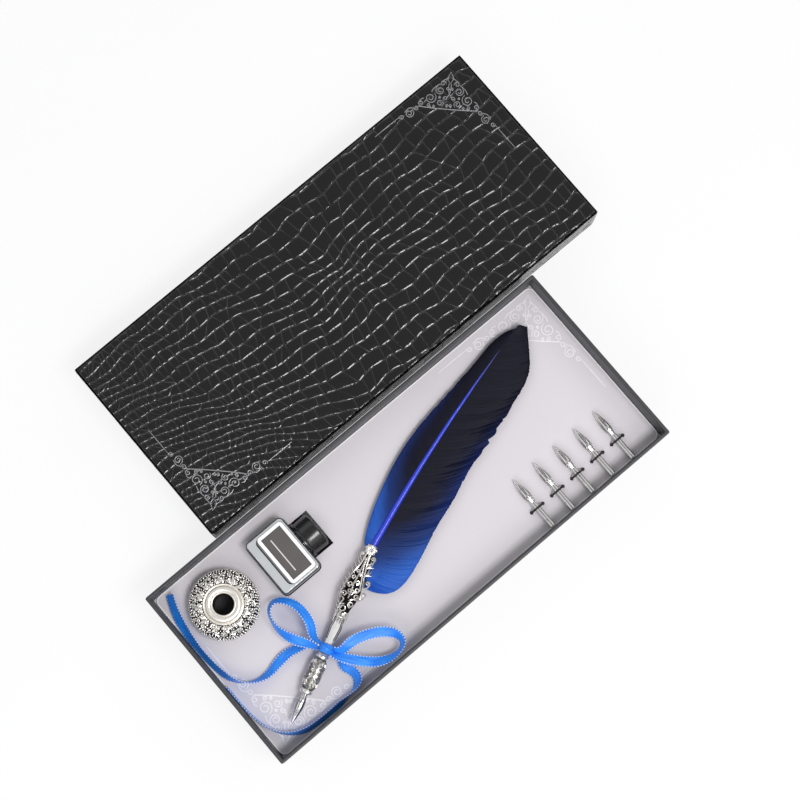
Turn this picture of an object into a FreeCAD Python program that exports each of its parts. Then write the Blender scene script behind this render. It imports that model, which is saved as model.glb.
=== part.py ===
import FreeCAD, Part
import Sketcher
import math
import os

# Dip pen gift box: a tray with its lid beside it, a card on foam, and the set that lies in it.
# Millimetres, +Z up, origin under the middle of the tray, +X along its length, the lid lies on the +Y side.

# Driving sizes, each with its own cell in the sheet.
SIZES = {
    # Tray and lid
    "tray_length": 285.0,
    "tray_width": 119.0,
    "tray_height": 38.0,
    "board": 1.5,
    "wrap": 0.3,
    "lid_depth": 28.0,
    "lid_clearance": 0.55,
    "lid_gap": 4.15,
    "lid_offset": 53.0,
    # Card and foam bed
    "card_drop": 16.0,
    "card_thickness": 0.8,
    "card_clearance": 0.3,
    "card_corner": 4.0,
    "foam_clearance": 0.3,
    "pocket_clearance": 0.5,
    "overrun": 2.0,
    # Pen rest
    "rest_radius": 20.0,
    "rest_foot_radius": 14.0,
    "rest_equator": 12.5,
    "rest_shoulder": 19.0,
    "rest_sink": 7.5,
    "rest_wall": 1.5,
    "collar_radius": 11.3,
    "collar_height": 2.0,
    "mouth_radius": 6.0,
    "socket_wall": 0.9,
    "flange_radius": 8.0,
    "flange_thickness": 1.6,
    "socket_depth": 16.0,
    "pad_thickness": 1.0,
    "rest_fit": 0.05,
    # Ink bottle, lying on its back with the cap towards +X
    "bottle_height": 26.5,
    "bottle_width": 37.0,
    "bottle_depth": 24.0,
    "bottle_corner": 2.6,
    "bottle_sink": 13.5,
    "glass_wall": 2.6,
    "glass_base": 6.0,
    "neck_finish_radius": 8.6,
    "neck_finish_length": 9.1,
    "neck_bore_radius": 6.5,
    "ink_gap": 0.1,
    "ink_air": 3.0,
    "label_base_gap": 7.0,
    "label_height": 18.0,
    "label_width": 33.0,
    "label_corner": 2.4,
    "label_paper": 0.2,
    "cap_radius": 11.6,
    "cap_length": 11.5,
    "cap_top": 1.5,
    "cap_lift_gap": 0.4,
    "cap_thread_gap": 0.9,
    "cap_room": 1.6,
    "liner_thickness": 1.0,
    "liner_gap": 0.15,
    # Nibs
    "nib_length": 34.0,
    "nib_blade": 16.5,
    "nib_belly": 10.5,
    "nib_radius": 2.35,
    "nib_waist_radius": 1.6,
    "nib_waist_length": 1.6,
    "nib_tip_radius": 0.45,
    "nib_sheet": 0.35,
    "nib_vent_radius": 0.6,
    "nib_vent_place": 8.0,
    "nib_slit": 0.2,
    "nib_lip": 0.3,
    "shank_radius": 1.9,
    "nib_from_end": 23.2,
    "nib_pitch": 15.1,
    "nib_wall_gap": 1.0,
    "lying_gap": 0.3,
    # Elastics over the spare nibs
    "elastic_radius": 0.6,
    "elastic_reach": 4.2,
    "elastic_place": 14.2,
    "elastic_gap": 0.25,
    "elastic_tuck": 2.2,
    "elastic_recess": 2.8,
    # Pen handle, along its own axis from the nib's point
    "nib_insert": 16.5,
    "collet_wall": 0.6,
    "collet_gap": 0.1,
    "collet_split": 0.8,
    "grip_length": 23.5,
    "grip_radius": 4.5,
    "grip_ring_radius": 3.9,
    "grip_groove_radius": 3.4,
    "grip_ring": 2.4,
    "grip_facet": 0.45,
    "grip_stop": 1.2,
    "stud_radius": 1.6,
    "stud_length": 3.6,
    "handle_length": 28.0,
    "handle_radius": 3.3,
    "handle_slim_radius": 2.4,
    "ferrule_length": 35.0,
    "ferrule_radius": 5.6,
    "ferrule_root_radius": 3.3,
    "ferrule_end_radius": 3.2,
    "ferrule_wall": 1.0,
    "ferrule_root": 2.0,
    "window_width": 3.7,
    "window_margin": 5.5,
    "rosette_length": 4.0,
    "rosette_ring_radius": 3.0,
    "rosette_bead_radius": 1.0,
    # Feather
    "quill_radius": 2.0,
    "quill_tip_radius": 0.5,
    "quill_gap": 0.1,
    "feather_bend_radius": 1087.0,
    "vane_lead_width": 14.0,
    "vane_trail_width": 26.8,
    "vane_thickness": 0.5,
    "vane_crown": 0.6,
    "vane_droop": 2.6,
    "vane_back": 23.0,
    "vane_ferrule_gap": 0.7,
    # Ribbon
    "ribbon_width": 6.0,
    "ribbon_thickness": 0.45,
    "ribbon_gap": 0.3,
    "knot_place": 45.0,
    "knot_length": 5.6,
    "knot_half_width": 4.5,
    "knot_corner": 1.0,
    "knot_gap": 0.2,
    "knot_lead": 4.0,
    "knot_spread": 1.4,
}

# Shares that give proportions, not lengths.
corner_mid_share = 1 - math.sqrt(0.5)
arc_run_share = 0.45
grip_facets = 8
handle_sides = 8
ferrule_windows = 6
rosette_beads = 8
spare_nibs = 5
feather_slope_share = 0.083
dome_share = 0.72
collar_lip_share = 0.35
collar_edge_share = 0.5
collar_round_share = 0.85
collar_dish_share = 0.62
nib_swell_share = 0.72
nib_hip_share = 0.6
leaf_width_share = 0.8
ferrule_rise_share = 0.2
ferrule_belly_share = 0.43
ferrule_fall_share = 0.73
ferrule_swell_share = 0.73
elastic_flat_share = 0.75

# Places on the card, as shares of the tray's length and width from its middle.
rest_place_shares = (-0.3905, 0.2454)
bottle_place_shares = (-0.2877, 0.2412)
pen_tip_shares = (-0.4358, -0.3815)
pen_reach_shares = (0.8197, 0.9193)

# Handle: place along the neck, then share of the way from slim to full radius.
handle_shares = [(0.0, 1.0), (0.16, 0.1), (0.34, 0.25), (0.58, 1.0), (0.84, 0.0), (1.0, 0.8)]

# Feather vanes: share of the vane's length from its root, then share of its full width.
vane_lead_shares = [
    (0.0, 0.40), (0.09, 0.66), (0.21, 0.87), (0.36, 1.0), (0.49, 0.95), (0.64, 0.75),
    (0.78, 0.56), (0.90, 0.44), (0.96, 0.28), (0.99, 0.14),
]
vane_trail_shares = [
    (0.0, 0.40), (0.02, 0.66), (0.06, 0.84), (0.12, 0.96), (0.21, 1.0), (0.34, 0.96), (0.48, 0.95),
    (0.61, 0.94), (0.71, 0.93), (0.79, 0.91), (0.85, 0.85), (0.90, 0.73), (0.95, 0.52), (0.985, 0.33),
]

# Quill: share of its free length, then share of the way from root to tip radius.
quill_shares = [(0.0, 0.0), (0.18, 0.2), (0.36, 0.42), (0.54, 0.62), (0.72, 0.8), (0.88, 0.93), (0.97, 1.0)]

# Ribbon routes from the knot, seen from above, in millimetres on a tray of the drawn size, which they stretch with.
drawn_tray = (285.0, 119.0)
loop_left_route = [
    (-80.6, -9.5), (-80.0, 2.0), (-84.4, 10.4), (-90.0, 13.6), (-95.6, 9.7), (-97.7, 0.0), (-94.4, -10.8),
]
loop_right_route = [
    (-70.5, -32.4), (-61.7, -34.9), (-53.5, -39.2), (-47.8, -45.2), (-47.6, -51.6), (-52.2, -55.2),
    (-59.6, -54.9), (-66.4, -51.2), (-73.2, -44.4),
]
tail_left_route = [
    (-94.0, -16.4), (-101.5, -14.2), (-109.5, -15.0), (-117.5, -16.6), (-125.3, -15.0), (-131.4, -10.6),
    (-135.6, -3.4), (-138.2, 5.5), (-139.2, 15.0), (-138.9, 26.0), (-137.2, 37.0), (-134.4, 46.0),
    (-129.6, 52.2),
]
tail_right_route = [
    (-82.4, -40.0), (-80.0, -45.2), (-79.8, -50.6), (-83.2, -54.4), (-89.0, -56.0), (-97.0, -56.4),
    (-106.0, -56.5), (-114.6, -56.2), (-122.0, -54.9), (-128.5, -51.0), (-133.5, -45.8), (-137.2, -38.4),
    (-138.9, -30.0), (-139.5, -21.5), (-139.4, -13.5), (-139.5, -7.0),
]

doc = FreeCAD.newDocument("dip_pen_gift_box")
sheet = doc.addObject("Spreadsheet::Sheet", "Sizes")
for row, (name, value) in enumerate(SIZES.items(), start=1):
    sheet.set(f"A{row}", name)
    sheet.set(f"B{row}", str(value))
    sheet.setAlias(f"B{row}", name)
doc.recompute()

V = FreeCAD.Vector
up = V(0, 0, 1)
forward = V(1, 0, 0)


class Size:
    """A length that knows its number and the sheet formula that gives it."""

    def __init__(self, value, formula):
        self.value = value
        self.formula = formula

    def joined(self, sign, other, value):
        formula = other.formula if isinstance(other, Size) else repr(other)
        return Size(value, f"({self.formula} {sign} {formula})")

    def __float__(self):
        return float(self.value)

    def __add__(self, other):
        return self.joined("+", other, self.value + float(other))

    def __sub__(self, other):
        return self.joined("-", other, self.value - float(other))

    def __mul__(self, other):
        return self.joined("*", other, self.value * float(other))

    def __truediv__(self, other):
        return self.joined("/", other, self.value / float(other))

    def __neg__(self):
        return Size(-self.value, f"(0 - {self.formula})")


def size(name):
    return Size(float(sheet.get(name)), f"Sizes.{name}")


zero = Size(0.0, "0")


def bind(item, sizes):
    """Ties properties of a document object to sheet formulas."""
    for path, length in sizes.items():
        item.setExpression(path, length.formula)


def put(item, x, y, z, turn=0.0):
    """Places an object, turned about +Z."""
    item.Placement = FreeCAD.Placement(V(float(x), float(y), float(z)), FreeCAD.Rotation(up, turn))
    return item


# Primitives and booleans bound to the sheet.
def box(name, length, width, height, x, y, z):
    item = doc.addObject("Part::Box", name)
    bind(item, {"Length": length, "Width": width, "Height": height})
    bind(item, {"Placement.Base.x": x, "Placement.Base.y": y})
    if isinstance(z, Size):
        bind(item, {"Placement.Base.z": z})
    return item


def centred_box(name, length, width, height, x, y, z):
    return box(name, length, width, height, x - length / 2, y - width / 2, z)


def cut(name, base, tool):
    item = doc.addObject("Part::Cut", name)
    item.Base = base
    item.Tool = tool
    return item


def fuse(name, shapes):
    item = doc.addObject("Part::MultiFuse", name)
    item.Shapes = shapes
    return item


def solid(name, shape):
    item = doc.addObject("Part::Feature", name)
    item.Shape = shape
    return item


# Sketched features.
def origin_feature(body, role):
    return next(item for item in body.Origin.OriginFeatures if item.Role == role)


def new_sketch(body, name, role):
    sketch = body.newObject("Sketcher::SketchObject", name)
    sketch.AttachmentSupport = [(origin_feature(body, role), "")]
    sketch.MapMode = "FlatFace"
    return sketch


def pin_point(sketch, geometry, spot, x, y):
    """Fixes a point of the sketch at two sheet formulas."""
    for kind, length in (("DistanceX", x), ("DistanceY", y)):
        index = sketch.addConstraint(Sketcher.Constraint(kind, -1, 1, geometry, spot, float(length)))
        if isinstance(length, Size):
            sketch.setExpression(f"Constraints[{index}]", length.formula)


def outline(body, name, role, corners):
    """Draws a closed outline: a corner is x, y and, where an arc leaves it, a point on that arc."""
    sketch = new_sketch(body, name, role)
    count = len(corners)
    ends = []
    for index, corner in enumerate(corners):
        after = corners[(index + 1) % count]
        start = V(float(corner[0]), float(corner[1]), 0)
        end = V(float(after[0]), float(after[1]), 0)
        if len(corner) == 2:
            ends.append((sketch.addGeometry(Part.LineSegment(start, end)), 1, 2))
            continue
        middle = V(float(corner[2]), float(corner[3]), 0)
        leftward = (middle - start).cross(end - middle).z > 0
        first, last = (start, end) if leftward else (end, start)
        arc = sketch.addGeometry(Part.Arc(first, middle, last))
        ends.append((arc, 1, 2) if leftward else (arc, 2, 1))
    for index, corner in enumerate(corners):
        edge, begin, finish = ends[index]
        following, following_begin, _ = ends[(index + 1) % count]
        sketch.addConstraint(Sketcher.Constraint("Coincident", edge, finish, following, following_begin))
        pin_point(sketch, edge, begin, corner[0], corner[1])
    for index, corner in enumerate(corners):
        if len(corner) == 4:
            marker = sketch.addGeometry(Part.Point(V(float(corner[2]), float(corner[3]), 0)), True)
            pin_point(sketch, marker, 1, corner[2], corner[3])
            sketch.addConstraint(Sketcher.Constraint("PointOnObject", marker, 1, ends[index][0]))
    return sketch


def rounded_rectangle(x0, y0, x1, y1, radius):
    """Corners of a rectangle with its corners rounded."""
    inset = radius * corner_mid_share
    return [
        (x0 + radius, y0), (x1 - radius, y0, x1 - inset, y0 + inset),
        (x1, y0 + radius), (x1, y1 - radius, x1 - inset, y1 - inset),
        (x1 - radius, y1), (x0 + radius, y1, x0 + inset, y1 - inset),
        (x0, y1 - radius), (x0, y0 + radius, x0 + inset, y0 + inset),
    ]


def ring_sketch(body, name, role, circles):
    """Draws circles, each given by its centre and radius."""
    sketch = new_sketch(body, name, role)
    for x, y, radius in circles:
        centre = V(float(x), float(y), 0)
        index = sketch.addGeometry(Part.Circle(centre, up, float(radius)))
        pin_point(sketch, index, 3, x, y)
        rule = sketch.addConstraint(Sketcher.Constraint("Radius", index, float(radius)))
        sketch.setExpression(f"Constraints[{rule}]", radius.formula)
    return sketch


def pad(body, name, sketch, length):
    item = body.newObject("PartDesign::Pad", name)
    item.Profile = sketch
    bind(item, {"Length": length})
    return item


def pocket(body, name, sketch, upward=False, both=False):
    """Cuts through everything above the sketch, below it, or on both sides of it."""
    item = body.newObject("PartDesign::Pocket", name)
    item.Profile = sketch
    item.Type = "ThroughAll"
    item.Reversed = upward
    item.SideType = "Symmetric" if both else "One side"
    return item


def spin(body, name, sketch, role):
    """Turns an outline about one of the body's axes."""
    item = body.newObject("PartDesign::Revolution", name)
    item.Profile = sketch
    item.ReferenceAxis = (origin_feature(body, role), [""])
    item.Angle = 360
    return item


def round_pattern(body, name, feature, role, count):
    item = body.newObject("PartDesign::PolarPattern", name)
    item.Originals = [feature]
    item.Axis = (origin_feature(body, role), [""])
    item.Angle = 360
    item.Occurrences = count
    body.Tip = item
    return item


def new_body(label):
    return doc.addObject("PartDesign::Body", label)


nodes = {}


def node(item, label):
    """Names a finished piece."""
    item.Label = label
    nodes[label] = item
    return item


# Levels and places that several pieces share.
rim_wall = size("board") + size("wrap") * 2
inner_length = size("tray_length") - size("board") * 2 - size("wrap") * 2
inner_width = size("tray_width") - size("board") * 2 - size("wrap") * 2
card_top = size("tray_height") - size("card_drop")
card_under = card_top - size("card_thickness")
right_end = size("tray_length") / 2
near_side = -(size("tray_width") / 2)
far_side = size("tray_width") / 2
lid_wall = size("lid_clearance") + size("board") + size("wrap")
lid_length = size("tray_length") + lid_wall * 2
lid_width = size("tray_width") + lid_wall * 2
lid_x = size("lid_offset")
lid_y = far_side + size("lid_gap") + lid_width / 2

rest_x = size("tray_length") * rest_place_shares[0]
rest_y = size("tray_width") * rest_place_shares[1]
rest_z = card_top - size("rest_sink")
sink_radius = (size("rest_radius") - size("rest_foot_radius")) * size("rest_sink") / size("rest_equator")
rest_hole_radius = size("rest_foot_radius") + sink_radius + size("pocket_clearance")

bottle_x = size("tray_length") * bottle_place_shares[0]
bottle_y = size("tray_width") * bottle_place_shares[1]
bottle_floor = card_top - size("bottle_sink")
bottle_z = bottle_floor + size("bottle_depth") / 2
cap_start = size("bottle_height") + size("cap_lift_gap")
cap_end = cap_start + size("cap_length")

nib_tip_y = near_side + rim_wall + size("nib_wall_gap") + size("nib_length")
elastic_y = near_side + rim_wall + size("elastic_place")
first_nib_x = right_end - size("nib_from_end") - size("nib_pitch") * (spare_nibs - 1)
nib_axis_z = card_top + size("lying_gap") + size("shank_radius")

pen_x = size("tray_length") * pen_tip_shares[0]
pen_y = size("tray_width") * pen_tip_shares[1]
pen_run = size("tray_length") * pen_reach_shares[0]
pen_rise = size("tray_width") * pen_reach_shares[1]
pen_widest = max(size("grip_radius"), size("ferrule_radius"), key=float)
pen_z = card_top + size("lying_gap") + pen_widest
pen_turn = math.degrees(math.atan2(float(pen_rise), float(pen_run)))
pen_length = math.hypot(float(pen_run), float(pen_rise))
grip_start = size("nib_length") - size("nib_insert")
grip_end = grip_start + size("grip_length")
handle_end = grip_end + size("handle_length")
ferrule_end = handle_end + size("ferrule_length")
rosette_end = ferrule_end + size("rosette_length")


def put_on_pen(item):
    return put(item, pen_x, pen_y, pen_z, pen_turn)


# Tray: greyboard shell with its covering paper turned in over the rim.
def make_tray():
    board = size("board")
    wrap = size("wrap")
    over = size("overrun")
    high = size("tray_height")
    length = size("tray_length")
    width = size("tray_width")
    middle = zero
    block = centred_box("tray_block", length - wrap * 2, width - wrap * 2, high - wrap, middle, middle, 0)
    hollow = centred_box("tray_hollow", inner_length, inner_width, high, middle, middle, board)
    node(cut("tray_board_cut", block, hollow), "tray_board")

    cover = centred_box("wrap_cover", length, width, high, middle, middle, 0)
    well = centred_box("wrap_well", inner_length - wrap * 2, inner_width - wrap * 2, high + over,
                       middle, middle, 0)
    core = centred_box("wrap_core", length - wrap * 2, width - wrap * 2, high - wrap, middle, middle, 0)
    lining = centred_box("wrap_lining", inner_length, inner_width, high, middle, middle, card_top)
    sleeve = cut("wrap_sleeve", cover, well)
    node(cut("tray_wrap_cut", sleeve, cut("wrap_core_cut", core, lining)), "tray_wrap")


# Lid: greyboard shell open below, with its paper over the top and the outer walls.
def make_lid():
    board = size("board")
    wrap = size("wrap")
    depth = size("lid_depth")
    shell = centred_box("lid_block", lid_length - wrap * 2, lid_width - wrap * 2, depth - wrap,
                        lid_x, lid_y, 0)
    hollow_length = lid_length - (board + wrap) * 2
    hollow_width = lid_width - (board + wrap) * 2
    hollow = centred_box("lid_hollow", hollow_length, hollow_width, depth - wrap - board, lid_x, lid_y, 0)
    node(cut("lid_board_cut", shell, hollow), "lid_board")
    cover = centred_box("lid_cover", lid_length, lid_width, depth, lid_x, lid_y, 0)
    core = centred_box("lid_core", lid_length - wrap * 2, lid_width - wrap * 2, depth - wrap, lid_x, lid_y, 0)
    node(cut("lid_wrap_cut", cover, core), "lid_wrap")


# Foam bed: a plain sheet below, and four blocks on it that leave the bottle pocket free between them.
def make_foam():
    room = size("pocket_clearance")
    over = size("overrun")
    half_length = inner_length / 2 - size("foam_clearance")
    half_width = inner_width / 2 - size("foam_clearance")
    layer = card_under - bottle_floor
    pocket_start = bottle_x - room
    pocket_end = bottle_x + cap_end + size("cap_room")
    pocket_near = bottle_y - size("bottle_width") / 2 - room
    pocket_far = bottle_y + size("bottle_width") / 2 + room
    sheet = box("foam_sheet", half_length * 2, half_width * 2, bottle_floor - size("board"),
                -half_length, -half_width, size("board"))
    node(sheet, "foam_bed")
    start = box("foam_start", pocket_start + half_length, half_width * 2, layer, -half_length, -half_width,
                bottle_floor)
    well = doc.addObject("Part::Cylinder", "rest_pocket")
    bind(well, {"Radius": rest_hole_radius, "Height": size("rest_sink") + over})
    bind(well, {"Placement.Base.x": rest_x, "Placement.Base.y": rest_y, "Placement.Base.z": rest_z})
    node(cut("foam_rest_cut", start, well), "foam_rest_block")
    near = box("foam_near", pocket_end - pocket_start, pocket_near + half_width, layer, pocket_start,
               -half_width, bottle_floor)
    node(near, "foam_near_block")
    back = box("foam_back", pocket_end - pocket_start, half_width - pocket_far, layer, pocket_start,
               pocket_far, bottle_floor)
    node(back, "foam_back_block")
    end = box("foam_end", half_length - pocket_end, half_width * 2, layer, pocket_end, -half_width, bottle_floor)
    slot_end = size("elastic_reach") + size("elastic_radius") * 2
    slot = box("elastic_slot", size("nib_pitch") * (spare_nibs - 1) + slot_end * 2,
               size("elastic_radius") * 4, size("elastic_recess") + over, first_nib_x - slot_end,
               elastic_y - size("elastic_radius") * 2, card_under - size("elastic_recess"))
    node(cut("foam_end_cut", end, slot), "foam_end_block")


# Card: one sheet with rounded corners, die-cut for the rest, the bottle and the elastics.
def make_card():
    room = size("pocket_clearance")
    half_length = inner_length / 2 - size("wrap") - size("card_clearance")
    half_width = inner_width / 2 - size("wrap") - size("card_clearance")
    body = new_body("insert_card")
    blank = rounded_rectangle(-half_length, -half_width, half_length, half_width, size("card_corner"))
    pad(body, "card_pad", outline(body, "card_outline", "XY_Plane", blank), size("card_thickness"))
    doc.recompute()
    rest_circle = ring_sketch(body, "rest_circle", "XY_Plane", [(rest_x, rest_y, rest_hole_radius)])
    pocket(body, "rest_hole", rest_circle, both=True)
    base = bottle_x - room
    shoulder = bottle_x + size("bottle_height") + room
    cap_stop = bottle_x + cap_end + size("cap_room")
    body_half = size("bottle_width") / 2 + room
    cap_half = size("cap_radius") + room
    bottle_cut = [
        (base, bottle_y - body_half), (shoulder, bottle_y - body_half), (shoulder, bottle_y - cap_half),
        (cap_stop, bottle_y - cap_half), (cap_stop, bottle_y + cap_half), (shoulder, bottle_y + cap_half),
        (shoulder, bottle_y + body_half), (base, bottle_y + body_half),
    ]
    pocket(body, "bottle_hole", outline(body, "bottle_outline", "XY_Plane", bottle_cut), both=True)
    hole_radius = size("elastic_radius") + size("elastic_gap")
    holes = [
        (first_nib_x - size("elastic_reach"), elastic_y, hole_radius),
        (first_nib_x + size("elastic_reach"), elastic_y, hole_radius),
    ]
    pair = pocket(body, "elastic_holes", ring_sketch(body, "elastic_circles", "XY_Plane", holes), both=True)
    doc.recompute()
    row = body.newObject("PartDesign::LinearPattern", "elastic_row")
    row.Originals = [pair]
    row.Direction = (origin_feature(body, "X_Axis"), [""])
    row.Occurrences = spare_nibs
    bind(row, {"Length": size("nib_pitch") * (spare_nibs - 1)})
    body.Tip = row
    node(put(body, 0, 0, card_under), "insert_card")


# Pen rest: a hollow cast bowl, its polished collar, the socket for the point and a felt pad.
def make_rest():
    wall = size("rest_wall")
    foot = size("rest_foot_radius")
    belly = size("rest_radius")
    waist = size("rest_equator")
    shoulder = size("rest_shoulder")
    collar = size("collar_radius")
    flange = size("flange_radius")
    under = shoulder - size("flange_thickness")
    dome_radius = collar + (belly - collar) * dome_share
    dome_height = waist + (shoulder - waist) * dome_share

    bowl = new_body("rest_bowl")
    profile = [
        (foot - wall, zero), (foot, zero),
        (belly, waist, dome_radius, dome_height), (collar, shoulder), (flange, shoulder), (flange, under),
        (collar - wall, under, dome_radius - wall, dome_height - wall), (belly - wall, waist),
    ]
    spin(bowl, "bowl_turn", outline(bowl, "bowl_profile", "XZ_Plane", profile), "Z_Axis")
    node(put(bowl, rest_x, rest_y, rest_z), "rest_bowl")

    mouth = size("mouth_radius")
    rise = size("collar_height")
    lip = collar - (collar - mouth) * collar_lip_share
    ring = new_body("rest_collar")
    dish_radius = (mouth + lip) / 2
    dish_height = shoulder + rise * collar_dish_share
    edge = shoulder + rise * collar_edge_share
    round_radius = (collar * 2 + lip) / 3
    round_height = shoulder + rise * collar_round_share
    profile = [
        (mouth, shoulder), (collar, shoulder), (collar, edge, round_radius, round_height),
        (lip, shoulder + rise, dish_radius, dish_height), (mouth, edge),
    ]
    spin(ring, "collar_turn", outline(ring, "collar_profile", "XZ_Plane", profile), "Z_Axis")
    node(put(ring, rest_x, rest_y, rest_z), "rest_collar")

    fit = size("rest_fit")
    tube = mouth + size("socket_wall")
    base = shoulder - size("socket_depth")
    socket = new_body("rest_socket")
    axis = zero
    profile = [
        (axis, base), (tube, base), (tube, under), (flange - fit, under), (flange - fit, shoulder),
        (mouth, shoulder), (mouth, base + size("socket_wall")), (axis, base + size("socket_wall")),
    ]
    spin(socket, "socket_turn", outline(socket, "socket_profile", "XZ_Plane", profile), "Z_Axis")
    node(put(socket, rest_x, rest_y, rest_z), "rest_socket")

    felt = doc.addObject("Part::Cylinder", "rest_felt")
    bind(felt, {"Radius": foot - wall - fit, "Height": size("pad_thickness")})
    node(put(felt, rest_x, rest_y, rest_z), "rest_pad")


# Ink bottle: thick glass with a squared body, its ink, paper label, screw cap and liner.
def make_bottle():
    wall = size("glass_wall")
    height = size("bottle_height")
    half_width = size("bottle_width") / 2
    half_depth = size("bottle_depth") / 2
    axis = zero

    outer = new_body("bottle_outer")
    corner = size("bottle_corner")
    plan = outline(outer, "bottle_plan", "XY_Plane",
                   rounded_rectangle(axis, -half_width, height, half_width, corner))
    bind(plan, {"AttachmentOffset.Base.z": -half_depth})
    pad(outer, "bottle_walls", plan, size("bottle_depth"))
    doc.recompute()
    finish = ring_sketch(outer, "neck_circle", "YZ_Plane", [(axis, axis, size("neck_finish_radius"))])
    pad(outer, "neck_finish", finish, height + size("neck_finish_length"))

    cavity = new_body("bottle_cavity")
    inside = rounded_rectangle(size("glass_base"), wall - half_width, height - wall, half_width - wall, corner)
    sketch = outline(cavity, "cavity_plan", "XY_Plane", inside)
    bind(sketch, {"AttachmentOffset.Base.z": wall - half_depth})
    pad(cavity, "cavity_walls", sketch, (half_depth - wall) * 2)
    doc.recompute()
    bore = ring_sketch(cavity, "bore_circle", "YZ_Plane", [(axis, axis, size("neck_bore_radius"))])
    bind(bore, {"AttachmentOffset.Base.z": size("glass_base")})
    pad(cavity, "neck_bore", bore, height + size("neck_finish_length"))
    node(put(cut("bottle_glass_cut", outer, cavity), bottle_x, bottle_y, bottle_z), "bottle_glass")

    gap = size("ink_gap")
    ink = new_body("ink_fill")
    pool = rounded_rectangle(size("glass_base") + gap, wall + gap - half_width,
                             height - wall - gap, half_width - wall - gap, corner)
    sketch = outline(ink, "ink_plan", "XY_Plane", pool)
    bind(sketch, {"AttachmentOffset.Base.z": wall + gap - half_depth})
    pad(ink, "ink_pool", sketch, (half_depth - wall) * 2 - gap - size("ink_air"))
    node(put(ink, bottle_x, bottle_y, bottle_z), "ink_fill")

    label = new_body("bottle_label")
    half_label = size("label_width") / 2
    low = size("label_base_gap")
    paper = rounded_rectangle(low, -half_label, low + size("label_height"), half_label, size("label_corner"))
    sketch = outline(label, "label_outline", "XY_Plane", paper)
    pad(label, "label_paper_pad", sketch, size("label_paper"))
    node(put(label, bottle_x, bottle_y, bottle_floor + size("bottle_depth")), "bottle_label")

    radius = size("cap_radius")
    ease = size("cap_top") / 2
    thread = size("neck_finish_radius") + size("cap_thread_gap")
    cap = new_body("cap_shell")
    profile = [
        (cap_start, thread), (cap_start, radius), (cap_end - ease, radius),
        (cap_end, radius - ease), (cap_end, axis), (cap_end - size("cap_top"), axis),
        (cap_end - size("cap_top"), thread),
    ]
    spin(cap, "cap_turn", outline(cap, "cap_profile", "XY_Plane", profile), "X_Axis")
    node(put(cap, bottle_x, bottle_y, bottle_z), "cap_shell")

    liner = doc.addObject("Part::Cylinder", "liner_disc")
    bind(liner, {"Radius": thread - size("liner_gap"), "Height": size("liner_thickness")})
    seat = height + size("neck_finish_length") + size("liner_gap")
    liner.Placement = FreeCAD.Placement(V(float(bottle_x + seat), float(bottle_y), float(bottle_z)),
                                        FreeCAD.Rotation(up, forward))
    node(liner, "cap_liner")


# Nib: a rolled sheet with an open pointed blade, a vent and a slit, and a tubular shank.
def make_nib(label):
    sheet_gauge = size("nib_sheet")
    belly = size("nib_belly")
    blade = size("nib_blade")
    full = size("nib_radius")
    waist = size("nib_waist_radius")
    tip = size("nib_tip_radius")
    shank = size("shank_radius")
    shank_start = blade + size("nib_waist_length")
    end = size("nib_length")
    point = zero
    ogive = (belly / 2, tip + (full - tip) * nib_swell_share)
    hip = (belly + (blade - belly) * nib_hip_share, waist + (full - waist) * nib_swell_share)

    body = new_body(label)
    profile = [
        (point, tip, ogive[0], ogive[1]), (belly, full, hip[0], hip[1]), (blade, waist), (shank_start, shank),
        (end, shank), (end, shank - sheet_gauge), (shank_start, shank - sheet_gauge),
        (blade, waist - sheet_gauge, hip[0], hip[1] - sheet_gauge),
        (belly, full - sheet_gauge, ogive[0], ogive[1] - sheet_gauge), (point, tip - sheet_gauge),
    ]
    spin(body, label + "_roll", outline(body, label + "_profile", "XY_Plane", profile), "X_Axis")
    doc.recompute()
    over = size("overrun")
    lip = size("nib_lip")
    opened = [(-over, -over - full), (blade, -over - full), (blade, lip), (-over, lip)]
    pocket(body, label + "_open_side", outline(body, label + "_open_outline", "XZ_Plane", opened), both=True)
    vent = ring_sketch(body, label + "_vent_circle", "XY_Plane",
                       [(size("nib_vent_place"), point, size("nib_vent_radius"))])
    pocket(body, label + "_vent", vent, upward=True)
    half_slit = size("nib_slit") / 2
    slit = [
        (-over, -half_slit), (size("nib_vent_place"), -half_slit),
        (size("nib_vent_place"), half_slit), (-over, half_slit),
    ]
    pocket(body, label + "_slit", outline(body, label + "_slit_outline", "XY_Plane", slit), upward=True)
    return node(body, label)


def make_nibs():
    put_on_pen(make_nib("pen_nib"))
    for index in range(spare_nibs):
        spare = make_nib(f"spare_nib_{index + 1}")
        put(spare, first_nib_x + size("nib_pitch") * index, nib_tip_y, nib_axis_z, -90)


# Path of straight runs joined by tangent arcs, each as large as its two runs allow.
def rounded_route(points):
    pieces = []
    radii = []
    at = points[0]
    for before, corner, after in zip(points, points[1:], points[2:]):
        inward = (corner - before).normalize()
        outward = (after - corner).normalize()
        reach = arc_run_share * min((corner - before).Length, (after - corner).Length)
        turn = inward.getAngle(outward)
        radius = reach / math.tan(turn / 2)
        start = corner - inward * reach
        end = corner + outward * reach
        bisector = (outward - inward).normalize()
        middle = corner + bisector * (radius / math.cos(turn / 2) - radius)
        pieces.append((at, start))
        pieces.append((start, middle, end))
        radii.append(radius)
        at = end
    pieces.append((at, points[-1]))
    return pieces, radii


def route_edge(piece):
    return Part.LineSegment(*piece).toShape() if len(piece) == 2 else Part.Arc(*piece).toShape()


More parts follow.
